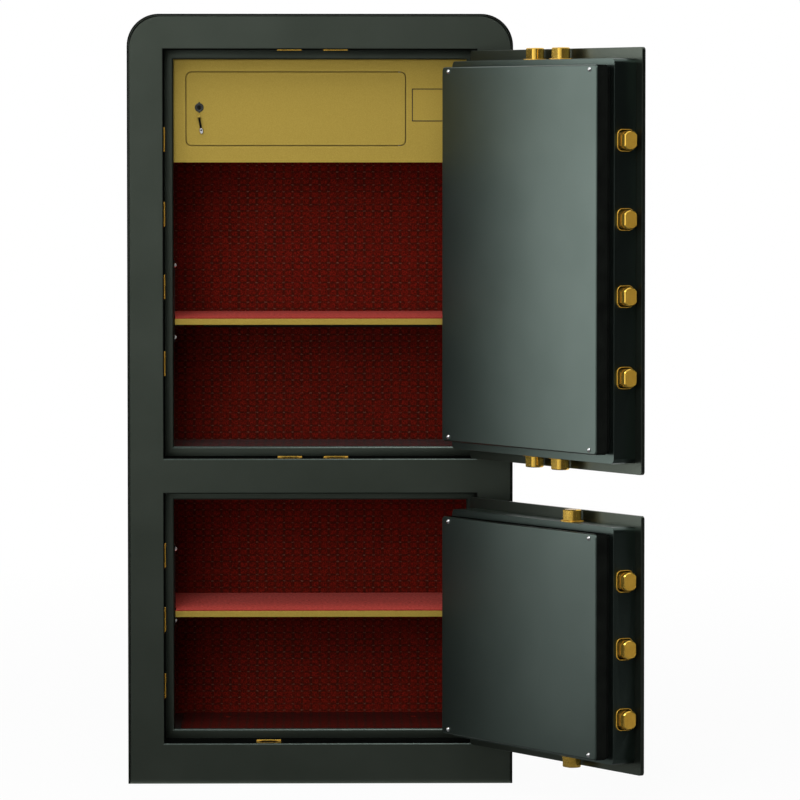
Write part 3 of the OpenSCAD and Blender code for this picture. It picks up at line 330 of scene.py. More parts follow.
def body_paint():
    # Sprayed lacquer with aluminium flakes, dark grey-green: it mirrors its surroundings softly and dimly, and a
    # fine pebbled skin breaks the shine up. The real pebbles are about 0.8 mm wide, and are drawn at 1.6 mm to show.
    mat, tree, shader, place = finish("dark grey-green metallic powder coat", "484f47", Metallic=0.95, Roughness=0.3)
    cloud = add(tree, "TexNoise", {"Vector": place, "Scale": 1000 / 90, "Detail": 3.0})
    pebbles = add(tree, "TexNoise", {"Vector": place, "Scale": 1000 / 1.6, "Detail": 2.0, "Roughness": 0.55})
    skin(tree, shader, cloud.outputs["Fac"], tones=[(0.3, "454c44"), (0.7, "4b524a")])
    skin(tree, shader, pebbles.outputs["Fac"], rough=(0.26, 0.36), depth=0.06)
    return mat


def door_paint():
    # The same lacquer sprayed smoother over the doors' inner sides, so that its shine spreads evenly.
    mat, tree, shader, place = finish("grey-green metallic powder coat", "4e5a55", Metallic=0.985, Roughness=0.33)
    cloud = add(tree, "TexNoise", {"Vector": place, "Scale": 1000 / 120, "Detail": 2.0})
    peel = add(tree, "TexNoise", {"Vector": place, "Scale": 1000 / 1.8, "Detail": 2.0})
    skin(tree, shader, cloud.outputs["Fac"], tones=[(0.3, "4b5752"), (0.7, "515d58")])
    skin(tree, shader, peel.outputs["Fac"], rough=(0.3, 0.36), depth=0.01)
    return mat


def grained(name, base, grain, layers, tones, depth=None, uneven=0.5, **sockets):
    """A finish whose one grain, with its size in millimetres, gives both its tones and its relief."""
    mat, tree, shader, place = finish(name, base, **sockets)
    marks = add(tree, "TexNoise", {"Vector": place, "Scale": 1000 / grain, "Detail": layers, "Roughness": uneven})
    skin(tree, shader, marks.outputs["Fac"], tones=tones, depth=depth)
    return mat


def plated(name, base, dark, light, metallic, roughness, marks_depth):
    # Steel with a bright plating: its tool marks, 0.3 mm apart, soften the highlights, and are drawn at 1 mm.
    mat, tree, shader, place = finish(name, base, Metallic=metallic, Roughness=roughness)
    cloud = add(tree, "TexNoise", {"Vector": place, "Scale": 1000 / 14, "Detail": 3.0})
    marks = add(tree, "TexNoise", {"Vector": place, "Scale": 1000 / 1.0, "Detail": 1.0})
    skin(tree, shader, cloud.outputs["Fac"], tones=[(0.3, dark), (0.7, light)],
         rough=(roughness * 0.94, roughness * 1.06))
    skin(tree, shader, marks.outputs["Fac"], depth=marks_depth)
    return mat


def bare_metal(name, base, roughness, grain, depth):
    """Bare metal with its grain in millimetres and the depth of its marks."""
    mat, tree, shader, place = finish(name, base, Metallic=1.0, Roughness=roughness)
    marks = add(tree, "TexNoise", {"Vector": place, "Scale": 1000 / grain, "Detail": 4.0})
    skin(tree, shader, marks.outputs["Fac"], rough=(roughness * 0.8, roughness * 1.2), depth=depth)
    return mat


def waves(tree, where, step, low, high):
    """Bands a step in millimetres apart along one coordinate, from 0 between them to 1 on them."""
    turn = add(tree, "Math", {0: where, 1: 2000 * pi / step}, operation="MULTIPLY")
    wave = add(tree, "Math", {0: turn.outputs[0]}, operation="COSINE")
    return add(tree, "MapRange", {"Value": wave.outputs[0], "From Min": low, "From Max": high}).outputs["Result"]


def woven_felt(name, nap):
    # Dark red woven felt: brown binding threads 14.6 mm apart across and 10.6 mm apart down, with a pale stitch
    # where they cross that catches the light unevenly, and a cloudy nap of 2 mm fibre tufts between them.
    mat, tree, shader, place = finish(name, "5c140d", Roughness=1.0, Specular_IOR_Level=0.0, Sheen_Weight=nap,
                                      Sheen_Roughness=0.5)
    fibre = add(tree, "TexNoise", {"Vector": place, "Scale": 1000 / 2.0, "Detail": 4.0, "Roughness": 0.75})
    tint = add(tree, "ValToRGB", {"Fac": fibre.outputs["Fac"]}, stops=[(0.38, "390d08"), (0.62, "721911")])
    # The threads wander by up to 0.8 mm to each side
    slack = add(tree, "TexNoise", {"Vector": place, "Scale": 1000 / 9, "Detail": 1.0})
    pulled = add(tree, "VectorMath", {0: slack.outputs["Color"], 1: (0.0016, 0.0016, 0.0016), 2: place},
                 operation="MULTIPLY_ADD")
    axes = add(tree, "SeparateXYZ", {"Vector": pulled.outputs["Vector"]})
    across = axes.outputs["X"]
    down = add(tree, "Math", {0: axes.outputs["Y"], 1: axes.outputs["Z"]}, operation="ADD").outputs[0]
    threads = add(tree, "Math", {0: waves(tree, across, 14.6, 0.0, 1.0), 1: waves(tree, down, 10.6, 0.0, 1.0)},
                  operation="MAXIMUM")
    worn = add(tree, "TexNoise", {"Vector": place, "Scale": 1000 / 22, "Detail": 2.0})
    seen = add(tree, "MapRange", {"Value": worn.outputs["Fac"], "From Min": 0.38, "From Max": 0.62,
                                  "To Min": 0.45, "To Max": 0.85}).outputs["Result"]
    brown = add(tree, "Math", {0: threads.outputs[0], 1: seen}, operation="MULTIPLY")
    woven = add(tree, "MixRGB", {"Fac": brown.outputs[0], "Color1": tint.outputs["Color"],
                                 "Color2": colour("35120b")})
    cross = add(tree, "Math", {0: waves(tree, across, 14.6, 0.35, 0.9), 1: waves(tree, down, 10.6, 0.72, 0.98)},
                operation="MULTIPLY")
    broken = add(tree, "MapRange", {"Value": fibre.outputs["Fac"], "From Min": 0.42, "From Max": 0.6,
                                    "To Min": 0.15, "To Max": 0.75})
    stitch = add(tree, "Math", {0: cross.outputs[0], 1: broken.outputs["Result"]}, operation="MULTIPLY")
    stitch = add(tree, "Math", {0: stitch.outputs[0], 1: seen}, operation="MULTIPLY")
    mix = add(tree, "MixRGB", {"Fac": stitch.outputs[0], "Color1": woven.outputs["Color"],
                               "Color2": colour("785043")})
    tree.links.new(mix.outputs["Color"], shader.inputs["Base Color"])
    high = add(tree, "Math", {0: fibre.outputs["Fac"], 1: stitch.outputs[0]}, operation="ADD")
    skin(tree, shader, high.outputs[0], depth=0.3)
    return mat


def black_plastic():
    # ABS, moulded in a grained tool: black, with a fine leathery grain 0.9 mm wide.
    mat, tree, shader, place = finish("black grained ABS", "141416", Roughness=0.5, IOR=1.54)
    grain = add(tree, "TexVoronoi", {"Vector": place, "Scale": 1000 / 0.9})
    skin(tree, shader, grain.outputs["Distance"], depth=0.06)
    return mat


def black_glass():
    # Toughened glass, black from behind: a hard mirror shine with faint smudges.
    mat, tree, shader, place = finish("black toughened glass", "0b0b0d", Roughness=0.06, IOR=1.52)
    smudge = add(tree, "TexNoise", {"Vector": place, "Scale": 1000 / 25, "Detail": 4.0})
    skin(tree, shader, smudge.outputs["Fac"], rough=(0.04, 0.14))
    return mat


def cast_fill():
    # Light concrete cast between the sheets: pale grey, matt and finely pitted.
    mat, tree, shader, place = finish("pale cast fill", "b5b1a8", Roughness=0.9)
    pits = add(tree, "TexVoronoi", {"Vector": place, "Scale": 1000 / 3.0})
    skin(tree, shader, pits.outputs["Distance"], depth=0.3)
    return mat


FINISH = {
    "body_paint": body_paint(),
    "door_paint": door_paint(),
    # The same lacquer, lighter: a painted highlight on the lower folds that face up
    "fold": grained("grey-green metallic powder coat, painted fold highlight", "5e6964", 1.6, 2.0,
                    [(0.35, "56605b"), (0.65, "66726c")], 0.03, 0.55, Metallic=0.9, Roughness=0.35),
    # A thin matt black coat with a faint cloudiness: painted shade on the jambs, the frame's groove, the wrap's front
    # bend, the covers' necks and walls, the keyway and the pull
    "jamb": grained("matt black painted shade", "0e100e", 30, 4.0, [(0.3, "0b0c0b"), (0.7, "121412")], 0.05,
                    Roughness=0.9, Specular_IOR_Level=0.0),
    # Metallic lacquer over sheet steel: flakes in a golden coat give a satin sheen with a fine orange peel
    "gold_paint": grained("golden metallic lacquer", "a58d3b", 1.2, 3.0, [(0.35, "9e8635"), (0.65, "ac9441")],
                          0.04, 0.7, Metallic=0.6, Roughness=0.45),
    # Golden plating over faced steel, satin: rings, keepers and the ends of the bolts
    "gold_plate": plated("golden plate, satin", "cfa23c", "ca9d38", "d4a741", 0.6, 0.26, 0.003),
    # The same plating over ground and polished steel: the round sides of the bolts
    "gold_polish": plated("golden plate, polished", "e6bc52", "e2b84e", "eac056", 0.9, 0.12, 0.001),
    # Bright zinc plating on small cold-headed screws
    "bright_zinc": plated("bright zinc plate", "f0f0ee", "eaeae8", "f6f6f4", 0.6, 0.2, 0.003),
    # Zinc plating, dull silver with a mottled grain
    "zinc": bare_metal("zinc plated sheet steel", "a9aaa8", 0.4, 6.0, 0.02),
    # Chromium plating over polished steel, close to a mirror
    "chrome": bare_metal("polished chromium plate", "d6d7d8", 0.12, 8.0, 0.002),
    # Turned steel, satin from fine tool marks
    "steel": bare_metal("turned steel", "9c9d9b", 0.3, 1.0, 0.01),
    # Cold rolled sheet steel, grey and slightly uneven
    "liner": bare_metal("cold rolled sheet steel", "8c8b88", 0.5, 10.0, 0.02),
    # Black nickel plating over polished brass: a smoky mirror
    "black_nickel": bare_metal("black nickel plate", "4a4d4a", 0.2, 5.0, 0.004),
    # Nickel plating over turned brass, dulled by the key
    "nickel": bare_metal("dull nickel plate", "6f7470", 0.35, 3.0, 0.006),
    # Phosphated sheet steel, dark grey and dull
    "dark_steel": bare_metal("phosphated sheet steel", "3a3a38", 0.55, 4.0, 0.01),
    "back_felt": woven_felt("dark red woven felt", 0.004),
    # The same felt laid flat and brushed up
    "floor_felt": woven_felt("dark red woven felt, brushed", 0.03),
    # Needled felt cut to a mat, brick red: loose fibres give it a dull nap, in tufts of 2 mm that are drawn at 5 mm
    "floor_mat": grained("brick red felt", "df483a", 5.0, 5.0, [(0.35, "c13427"), (0.65, "fc5f50")], 0.4, 0.75,
                         Roughness=1.0, Specular_IOR_Level=0.0, Sheen_Weight=0.03, Sheen_Roughness=0.5),
    # The red felt, darker: painted shade on the edges of the shelf mats
    "felt_edge_shade": grained("brick red felt, painted edge shade", "7c2a22", 1.5, 4.0, [(0.35, "6c241d"), (0.65, "8a3028")],
                        0.3, 0.7, Roughness=1.0, Specular_IOR_Level=0.0),
    # Thin black screen print on the golden plate, slightly broken up by the lacquer's grain; the same black is also
    # painted shade along the locker door's gap
    "print_and_gap_shade": grained("black border print and gap shade", "241d0e", 0.8, 2.0, [(0.35, "1c160a"), (0.7, "332913")],
                            Roughness=0.6),
    # Screen print on the back of the glass: flat pale grey marks
    "keypad_print": finish("pale keypad print", "9aa3a8", Roughness=0.3)[0],
    "plastic": black_plastic(),
    "touch_glass": black_glass(),
    "fill": cast_fill(),
}

SLOT = {part["node"]: part["material_slot"] for part in frame["record"]["subparts"]}
SLOT["shelf_clips"] = SLOT["shelf_rails"] = "dark_steel"
SLOT["rail_screws"] = "bright_zinc"
SLOT["locker_lock"] = "black_nickel"
for name, node in nodes.items():
    node.data.materials.clear()
    node.data.materials.append(FINISH[SLOT[name]])


def dress(name, edge):
    """Rounds the sharp edges of a CAD node that is shown as it is."""
    node = nodes[name]
    weld = node.modifiers.new("weld", "WELD")
    weld.merge_threshold = 2e-6
    tidy = node.modifiers.new("whole faces", "DECIMATE")
    tidy.decimate_type, tidy.angle_limit = "DISSOLVE", radians(1)
    round_off = node.modifiers.new("edge", "BEVEL")
    round_off.width, round_off.segments = edge / 1000, 3
    round_off.limit_method, round_off.angle_limit = "ANGLE", radians(35)
    node.modifiers.new("level faces", "WEIGHTED_NORMAL").keep_sharp = True


for name, edge in (("back_plate", 0.8), ("base_plate", 0.5), ("shelf_rails", 0.3), ("shelf_clips", 0.3),
                   ("upper_shelf", 0.5), ("lower_shelf", 0.5), ("frame_hinges", 0.8), ("locker_lock", 0.5)):
    dress(name, edge)
for door in ("upper", "lower"):
    for part, edge in (("door_plate", 1.0), ("handle", 1.5), ("handle_rose", 1.5), ("lock_housing", 3.0),
                       ("touch_panel", 0.3), ("key_cylinder", 0.4), ("key_cover", 0.6), ("battery_box", 1.0),
                       ("solenoid", 0.5)):
        dress(door + "_" + part, edge)


# Cabinet


def outer_wrap():
    """One sheet bent over both sides and the top, its front edge softly rounded."""
    shape = Shape()
    front_soft, back_soft, thick = 2.4, 1.2, SHEET - 0.02
    section = [(low, FRONT + into) for into, low in bend(front_soft)]
    front_steps = len(section) - 1
    section += [(into, BACK - low) for into, low in bend(back_soft, 3)]
    section += [(thick, BACK), (thick, FRONT)]
    rings = [shape.ring([(x, y, z) for x, z in arch(inset)]) for inset, y in section]
    for k, (a, b) in enumerate(zip(rings, rings[1:] + rings[:1])):
        start = len(shape.faces)
        shape.bridge(a, b, closed=False)
        # The rounded front edge takes the black coat: painted shade along the outline
        if k < front_steps:
            shape.rest_is_second(start)
    shape.faces += [[ring[end] for ring in rings] for end in (0, -1)]
    shape.build("outer_wrap_sheet", "cabinet", ["outer_wrap"], "body_paint", ["body_paint", "jamb"])


def front_frame():
    """The face with both openings, folded back into the jambs, with a hole for each keeper."""
    shape = Shape()
    fold, groove, rounder, chamfer = 2.0, 0.8, 3.0, 0.3
    edge = arch(SHEET + groove + chamfer, SHEET, rounder)
    rim = arch(SHEET + groove, SHEET, rounder)
    rings = shape.flat([[(x, FRONT, z) for x, z in edge]]
                       + [opening(OPEN_X + fold, FRONT, z0 - fold, z1 + fold) for z0, z1 in OPEN_Z.values()])
    outer = shape.ring([(x, FRONT + chamfer, z) for x, z in rim])
    shape.bridge(rings[0], outer)
    # The groove round the face takes the black coat: painted shade
    start = len(shape.faces)
    back = shape.ring([(x, FRONT + SHEET, z) for x, z in rim])
    shape.bridge(outer, back)
    wrap = shape.ring([(x, FRONT + SHEET, z) for x, z in arch(SHEET, SHEET)])
    shape.bridge(back, wrap)
    shape.rest_is_second(start)
    for (door, (z0, z1)), ring in zip(OPEN_Z.items(), rings[1:]):
        for k, (into, out) in enumerate(bend(fold, 6)[1:]):
            after = shape.ring(opening(OPEN_X + out, FRONT + into, z0 - out, z1 + out))
            # Painted highlight: the bend's lower side takes the lighter fold coat; painted shade: its other sides take
            # the black coat from the third step on
            shape.third.append(len(shape.faces))
            shape.bridge(ring, after)
            if k > 1:
                shape.rest_is_second(shape.third[-1] + 1)
            ring = after
        end = shape.ring(opening(OPEN_X, LINER_Y, z0, z1))
        cuts = []
        way = bolt_outline(BOLT_PLAY)
        for z in SIDE_BOLTS[door]:
            cuts.append([(-OPEN_X, FRONT + BOLT_DEPTH + px, DOOR_Z[door] + z + py) for px, py in way])
        for u in END_BOLTS[door]:
            for z in (z0, z1):
                cuts.append([(DOOR_EDGE - u + py, FRONT + BOLT_DEPTH + px, z) for px, py in way])
        # The jambs take the black coat: painted shade inside the openings
        start = len(shape.faces)
        shape.walls(ring, end, cuts)
        shape.rest_is_second(start)
    shape.build("front_frame_sheet", "cabinet", ["front_frame"], "body_paint", ["body_paint", "jamb", "fold"],
                facing=(0, -1, 0), thick=1.6)


def stop_ledges():
    """Angles round each opening that the closed door stops in front of, their inner edge folded back."""
    shape = Shape()
    fold, rear_lip = 3.0, 2.5
    for z0, z1 in OPEN_Z.values():
        steps = [(0.0, LEDGE_Y), (LEDGE_W - fold, LEDGE_Y)]
        steps += [(LEDGE_W - low, LEDGE_Y + into) for into, low in bend(fold, 6)[1:]]
        steps.append((LEDGE_W, LEDGE_Y + fold + rear_lip))
        ring = None
        for inset, y in steps:
            high = inset * LEDGE_H / LEDGE_W
            after = shape.ring(opening(OPEN_X - inset, y, z0 + high, z1 - high))
            if ring:
                shape.bridge(ring, after)
            # Painted highlight: the lower side's bend takes the lighter fold coat
            if inset > LEDGE_W - fold:
                shape.third.append(len(shape.faces) - 4)
            ring = after
    shape.build("stop_ledge_angles", "cabinet", ["stop_ledges"], "body_paint", ["body_paint", "jamb", "fold"],
                facing=(0, -1, 0), thick=1.5)


WAYS = {"side": ((0, 0, -1), (1, 0, 0), (0, -1, 0)), "top": ((0, -1, 0), (1, 0, 0), (0, 0, 1)),
        "bottom": ((0, 1, 0), (1, 0, 0), (0, 0, -1))}


def bolt_way(side, x, y, z):
    """A place where a bolt comes out or goes in, with Z along its way."""
    return Matrix.Translation((x, y, z)) @ Matrix(WAYS[side]).to_4x4()


def keeper_places():
    """Where each bolt enters a jamb, with Z along its way into the cabinet."""
    places, y = [], FRONT + BOLT_DEPTH
    for door, (z0, z1) in OPEN_Z.items():
        places += [bolt_way("side", -OPEN_X, y, DOOR_Z[door] + z) for z in SIDE_BOLTS[door]]
        for u in END_BOLTS[door]:
            places += [bolt_way("top", DOOR_EDGE - u, y, z1), bolt_way("bottom", DOOR_EDGE - u, y, z0)]
    return places


def keepers():
    """A golden plate round each bolt's way into the jambs, with a raised stop behind, and a dark sleeve."""
    plates, sleeves = Shape(), Shape()
    for place in keeper_places():
        def lift(x, y, high):
            return place @ Vector((x, y, -high))

        outline = rounded(-KEEPER_X, -KEEPER_Z, KEEPER_X, KEEPER_Z, KEEPER_R)
        plate_between(plates, outline, [bolt_outline(BOLT_PLAY)], 0.0, KEEPER_UP, lift, 0.1)
        start = len(plates.faces)
        plate_between(plates, rounded(STOP_IN, -KEEPER_Z, KEEPER_X, KEEPER_Z, 1.0, 3), [], 0.1, STOP_UP, lift, 0.5)
        # The stops at the openings' tops and bottoms are polished
        if abs(place[2][2]) > 0.5:
            plates.rest_is_second(start)
        rings = []
        wall = BOLT_PLAY + SLEEVE_T
        for grow, deep in ((BOLT_PLAY, 0.1), (wall, 0.1), (wall, SLEEVE_L), (BOLT_PLAY, SLEEVE_L)):
            rings.append(sleeves.ring([place @ Vector((x, y, deep)) for x, y in bolt_outline(grow)]))
        sleeves.loft(rings, round_again=True)
    plates.build("keeper_plates", "cabinet", ["bolt_keepers"], "gold_plate", ["gold_plate", "gold_polish"])
    sleeves.build("keeper_sleeves", "cabinet", ["bolt_keepers"], "steel", ["dark_steel"])


def felt_sheet(name, outline, thick, lift, replaces, slot, holes=(), coats=None):
    """A cut sheet of felt with a softly rounded edge, which takes the second coat."""
    shape = Shape()
    soft = min(0.8, thick / 2)
    steps = [(0.0, 0.0)] + [(into, thick - low) for into, low in bend(soft, 4)]
    shape.loft([shape.ring([lift(x, y, high) for x, y in inward(outline, inset)]) for inset, high in steps])
    # The edge takes the second coat, for the shelf mats a darker felt as painted shade
    shape.rest_is_second(0)
    for high, inset in ((0.0, 0.0), (thick, soft)):
        shape.flat([[lift(x, y, high) for x, y in ring] for ring in [inward(outline, inset)] + list(holes)])
    for hole in holes:
        shape.bridge(*(shape.ring([lift(x, y, high) for x, y in hole]) for high in (0.0, thick)))
    return shape.build(name, "cabinet", replaces, slot, coats or [slot, slot])


outer_wrap()
front_frame()
stop_ledges()
keepers()


def mat_outline():
    """Cut to the room's width, and notched in front for the shelf rails."""
    front, back = SHELF_Y
    right = [(SHELF_X, front), (SHELF_X, MAT_NOTCH), (MAT_X, MAT_NOTCH + 2.0), (MAT_X, back)]
    return right + [(-x, y) for x, y in reversed(right)]


for door in ("upper", "lower"):
    z0, z1 = ROOM_Z[door]
    felt = felt_sheet(door + "_back_felt", rounded(-ROOM_X, z0, ROOM_X, z1, 1.0), WALL_Y - FELT_Y,
                      lambda x, z, high: (x, WALL_Y - high, z), ["back_felts"], "back_felt")
    top = SHELF_TOP[door]
    # The shelf mats' edges take the darker felt: painted shade
    mat = felt_sheet(door + "_shelf_mat", mat_outline(), SHELF_MAT,
                     lambda x, y, high: (x, y, top + high), ["shelf_mats"], "floor_mat",
                     coats=["floor_mat", "felt_edge_shade"])
mat = felt_sheet("upper_floor_mat", rounded(-ROOM_X, LINER_Y, ROOM_X, FELT_Y, 2.0), MAT,
                 lambda x, y, high: (x, y, ROOM_Z["upper"][0] + high), ["floor_mats"], "back_felt",
                 coats=["floor_felt", "floor_felt"])
half, back = ROOM_X - LOW_MAT_MARGIN[0], FELT_Y - LOW_MAT_MARGIN[1]
mat = felt_sheet("lower_floor_mat", rounded(-half, LINER_Y, half, back, 2.0), MAT,
                 lambda x, y, high: (x, y, ROOM_Z["lower"][0] + high), ["floor_mats"], "back_felt",
                 holes=[circle(x, y, ANCHOR_R) for x, y in ANCHORS])


# Locker


def label_plate():
    """A bare plate beside the locker door, with a thin printed border."""
    shape = Shape()
    chamfer = 0.25
    rings = [shape.ring(upright(LABEL, inset, 1.2, LOCKER_Y - high))
             for inset, high in ((0.0, 0.0), (0.0, LABEL_T - chamfer), (chamfer, LABEL_T))]
    shape.loft(rings)
    shape.faces += [rings[-1], rings[0]]
    shape.build("label_plate", "cabinet", ["locker_plate"], "gold_paint")

    border = Shape()
    inset, print_y = 0.3, LOCKER_Y - LABEL_T - 0.04
    border.flat([upright(LABEL, inset, 1.0, print_y), upright(LABEL, inset + LABEL_BORDER, 1.0, print_y)])
    border.build("label_border", "cabinet", ["locker_plate"], "gold_paint", ["print_and_gap_shade"],
                 facing=(0, -1, 0), thick=0.03)


LOCK_PLACE = Matrix.Translation((LOCK[0], LOCKER_Y, LOCK[1])) @ Matrix.Rotation(radians(90), 4, "X")


def locker_key_plug():
    """The turned plug, dished round its keyway, and the cam on its rear end."""
    shape = Shape()
    dish_r, dish, chamfer = (3.9, 3.6), PLUG_OUT - 0.5, 0.3
    cam_half, cam_l, cam_t = 5.0, 28.0, 2.0

    def disc(r, high):
        return [(x, y, high) for x, y in circle(0.0, 0.0, r, 48)]

    def keyway(high):
        return [(x, y, high) for x, y in rounded(-KEYWAY[0] / 2, -KEYWAY[1] / 2, KEYWAY[0] / 2, KEYWAY[1] / 2, 0.5, 3)]

    rings = [shape.ring(disc(r, high)) for r, high in ((PLUG_R, -PLUG_BACK), (PLUG_R, PLUG_OUT - chamfer),
                                                       (PLUG_R - chamfer, PLUG_OUT))]
    shape.loft(rings)
    shape.faces.append(rings[0])
    face = shape.flat([disc(PLUG_R - chamfer, PLUG_OUT), disc(dish_r[0], PLUG_OUT)])
    start = len(shape.faces)
    shape.bridge(face[1], shape.ring(disc(dish_r[1], dish)))
    floor = shape.flat([disc(dish_r[1], dish), keyway(dish)])
    shape.rest_is_second(start)
    start = len(shape.faces)
    deep = shape.ring(keyway(PLUG_OUT - KEYWAY[1]))
    shape.bridge(floor[1], deep)
    shape.faces.append(deep)
    # The keyway's walls and bottom take the black coat: painted shade in the hole
    shape.third += range(start, len(shape.faces))
    cam = rounded(-cam_half, -cam_l, cam_half, cam_half, 1.5, 4)
    plate_between(shape, cam, [], -PLUG_BACK - cam_t, -PLUG_BACK)
    shape.build("locker_key_plug_turned", "locker_cam", ["locker_key_plug"], "steel",
                ["nickel", "dark_steel", "jamb"], LOCK_PLACE)


def lock_lugs():
    """Two small lugs of the lock's collar, over and under it."""
    shape = Shape()
    half, near, far, high = 1.1, 6.0, 8.8, 1.2
    for z0, z1 in ((-far, -near), (near, far)):
        plate_between(shape, rounded(-half, z0, half, z1, 0.5, 3), [], 0.0, high)
    shape.build("locker_lock_lugs", "locker_door", [], "steel", ["black_nickel"], LOCK_PLACE)


def locker_pins():
    """The two turned pins that the locker door hangs on, a little thinner than their bores."""
    shape = Shape()
    soft = 0.4
    for z0, z1 in PIN_Z:
        rings = [shape.ring([(x, y, z) for x, y in circle(*LOCKER_PIN, r, 32)])
                 for r, z in ((PIN_R - soft, z0), (PIN_R, z0 + soft), (PIN_R, z1 - soft), (PIN_R - soft, z1))]
        shape.loft(rings)
        shape.faces += [rings[0], rings[-1]]
    shape.build("locker_turned_pins", "locker_door", ["locker_hinge_pins"], "steel")


def locker_opening():
    """A thin black band round the locker door's opening, just outside the gap: painted shade that makes the gap look
    darker and wider.
    """
    edge = Shape()
    edge.flat([upright(LOCKER_DOOR, -grow, LOCKER_DOOR_R + grow, LOCKER_Y - 0.03)
               for grow in (LOCKER_GAP + 0.5, LOCKER_GAP)])
    edge.build("locker_gap_painted_shade", "cabinet", [], "gold_paint", ["print_and_gap_shade"], facing=(0, -1, 0), thick=0.02)


def locker_pull():
    """The small hanging arm: a barrel on its pin, a bar in black as a painted dark reflection, and a bright tip with a
    black disc in it as painted shade for a hole.
    """
    place = (Matrix.Translation((PULL[0], LOCKER_Y - PULL_OUT, PULL[1]))
             @ Matrix.Rotation(radians(-PULL_TILT), 4, "Y"))
    shape = Shape()
    barrel, chamfer, bore, round_r = 2.0, 0.4, 1.4, 2.6
    bar_w, bar_t, bar_foot = 1.6, 1.0, 9.0 - PULL_DROP
    tip, tip_t, tip_low = 2.7, 1.3, 4.6 - PULL_DROP
    shoulder, waist_w, waist = 7.0 - PULL_DROP, 1.5, 9.6 - PULL_DROP
    disc_z, disc_r = 6.2 - PULL_DROP, 1.4

    def lift(x, z, high):
        return (x, -high, z)

    section = ((-barrel, bore), (-barrel, round_r - chamfer), (chamfer - barrel, round_r),
               (barrel - chamfer, round_r), (barrel, round_r - chamfer), (barrel, bore))
    shape.loft([shape.ring([(x, y, z) for y, z in circle(0.0, 0.0, r, 24)]) for x, r in section], round_again=True)
    shape.third += range(len(shape.faces))
    # The bar takes the black coat: a painted dark reflection on the chrome
    start = len(shape.faces)
    bar = [(-bar_w, bar_foot), (bar_w, bar_foot), (bar_w, -bar_w), (-bar_w, -bar_w)]
    plate_between(shape, bar, [], -bar_t, bar_t, lift, 0.35)
    shape.rest_is_second(start)
    foot = [(tip * cos(radians(a)), tip_low + 1.6 * tip * sin(radians(a)))
            for a in range(180, 361, 15)]
    foot += [(tip, shoulder), (waist_w, waist), (-waist_w, waist), (-tip, shoulder)]
    plate_between(shape, foot, [], -tip_t, tip_t, lift, 0.5)
    # The disc takes the black coat: painted shade standing in for a hole in the tip
    start = len(shape.faces)
    plate_between(shape, circle(0.0, disc_z, disc_r, 20), [], tip_t - 0.1, tip_t + 0.15, lift, 0.1)
    shape.rest_is_second(start)
    shape.build("locker_pull_arm", "locker_pull", ["locker_pull"], "chrome",
                ["chrome", "jamb", "gold_paint"], place)


label_plate()
locker_key_plug()
lock_lugs()
locker_pins()
locker_opening()
locker_pull()


# Doors

CASE_TOP = PLATE + CASE_DEPTH
NECK_TOP = CASE_TOP + NECK
COVER_TOP = NECK_TOP + COVER_DEPTH


def door_place(door):
    """Takes a point of the closed door's drawing to where the open door stands."""
    turn = Matrix.Rotation(radians(OPEN_ANGLE), 4, "Z")
    return (Matrix.Translation((*HINGE, 0.0)) @ turn
            @ Matrix.Translation((DOOR_EDGE - HINGE[0], FRONT - HINGE[1], DOOR_Z[door])))


def bolt_ways(door):
    """For each bolt of a door: the place on the case's wall where it comes out, with Z along its way."""
    ways = [bolt_way("side", -DOOR_W + CASE_IN, BOLT_DEPTH, z) for z in SIDE_BOLTS[door]]
    for u in END_BOLTS[door]:
        ways += [bolt_way("top", -u, BOLT_DEPTH, DOOR_H[door] - CASE_IN), bolt_way("bottom", -u, BOLT_DEPTH, CASE_IN)]
    return ways


def bolt_case(door):
    """The folded case behind the plate, with rounded edges, a window and a hole for each bolt."""
    shape = Shape()
    box = (-DOOR_W + CASE_IN, CASE_IN, -CASE_IN_HINGE, DOOR_H[door] - CASE_IN)
    soft = 0.3

    def loop(inset, depth):
        return upright(box, inset, CASE_R - inset, depth)

    foot = shape.ring(loop(0.0, PLATE))
    ring = shape.ring(loop(0.0, CASE_TOP - soft))
    w, h = RING[0] / 2 - RING_LIP, RING[1] / 2 - RING_LIP
    hole = rounded(-w, -h, w, h, RING_R - RING_LIP)
    cuts = [[way @ Vector((x, y, 0.0)) for x, y in hole] for way in bolt_ways(door)]
    shape.walls(foot, ring, cuts)
    for inset, low in bend(soft)[1:-1]:
        after = shape.ring(loop(inset, CASE_TOP - low))
        shape.bridge(ring, after)
        ring = after
    face = shape.flat([loop(soft, CASE_TOP), upright(box, CASE_RIM, CASE_R, CASE_TOP)])
    shape.bridge(ring, face[0])
    shape.build(door + "_case_shell", door + "_door", [door + "_bolt_case"], "door_paint",
                place=door_place(door), facing=(0, 1, 0), thick=1.8)


def cover(door):
    """The raised cover: a tray with rounded edges on a narrow neck that leaves a slot round it, the neck and the
    tray's walls in black as painted shade.
    """
    shape = Shape()
    box = (-DOOR_W + COVER_IN_FREE, COVER_IN_BOTTOM[door], -COVER_IN_HINGE, DOOR_H[door] - COVER_IN_TOP)
    soft, under = 2.2, 0.8
    steps = [(NECK_IN, CASE_TOP), (NECK_IN, NECK_TOP), (under, NECK_TOP), (under / 4, NECK_TOP + under / 4),
             (0.0, NECK_TOP + under), (0.0, COVER_TOP - soft)]
    steps += [(inset, COVER_TOP - low) for inset, low in bend(soft, 6)[1:]]
    ring = None
    for inset, depth in steps:
        after = shape.ring(upright(box, inset, max(COVER_R - inset, 1.5), depth))
        start = len(shape.faces)
        if ring:
            shape.bridge(ring, after)
        # The neck and the walls take the black coat: painted shade in the slot and on the walls
        if depth <= COVER_TOP - soft:
            shape.rest_is_second(start)
        ring = after
    shape.faces.append(ring)
    shape.build(door + "_cover_tray", door + "_door", [door + "_cover"], "door_paint", ["door_paint", "jamb"],
                door_place(door), facing=(0, 1, 0), thick=1.2)


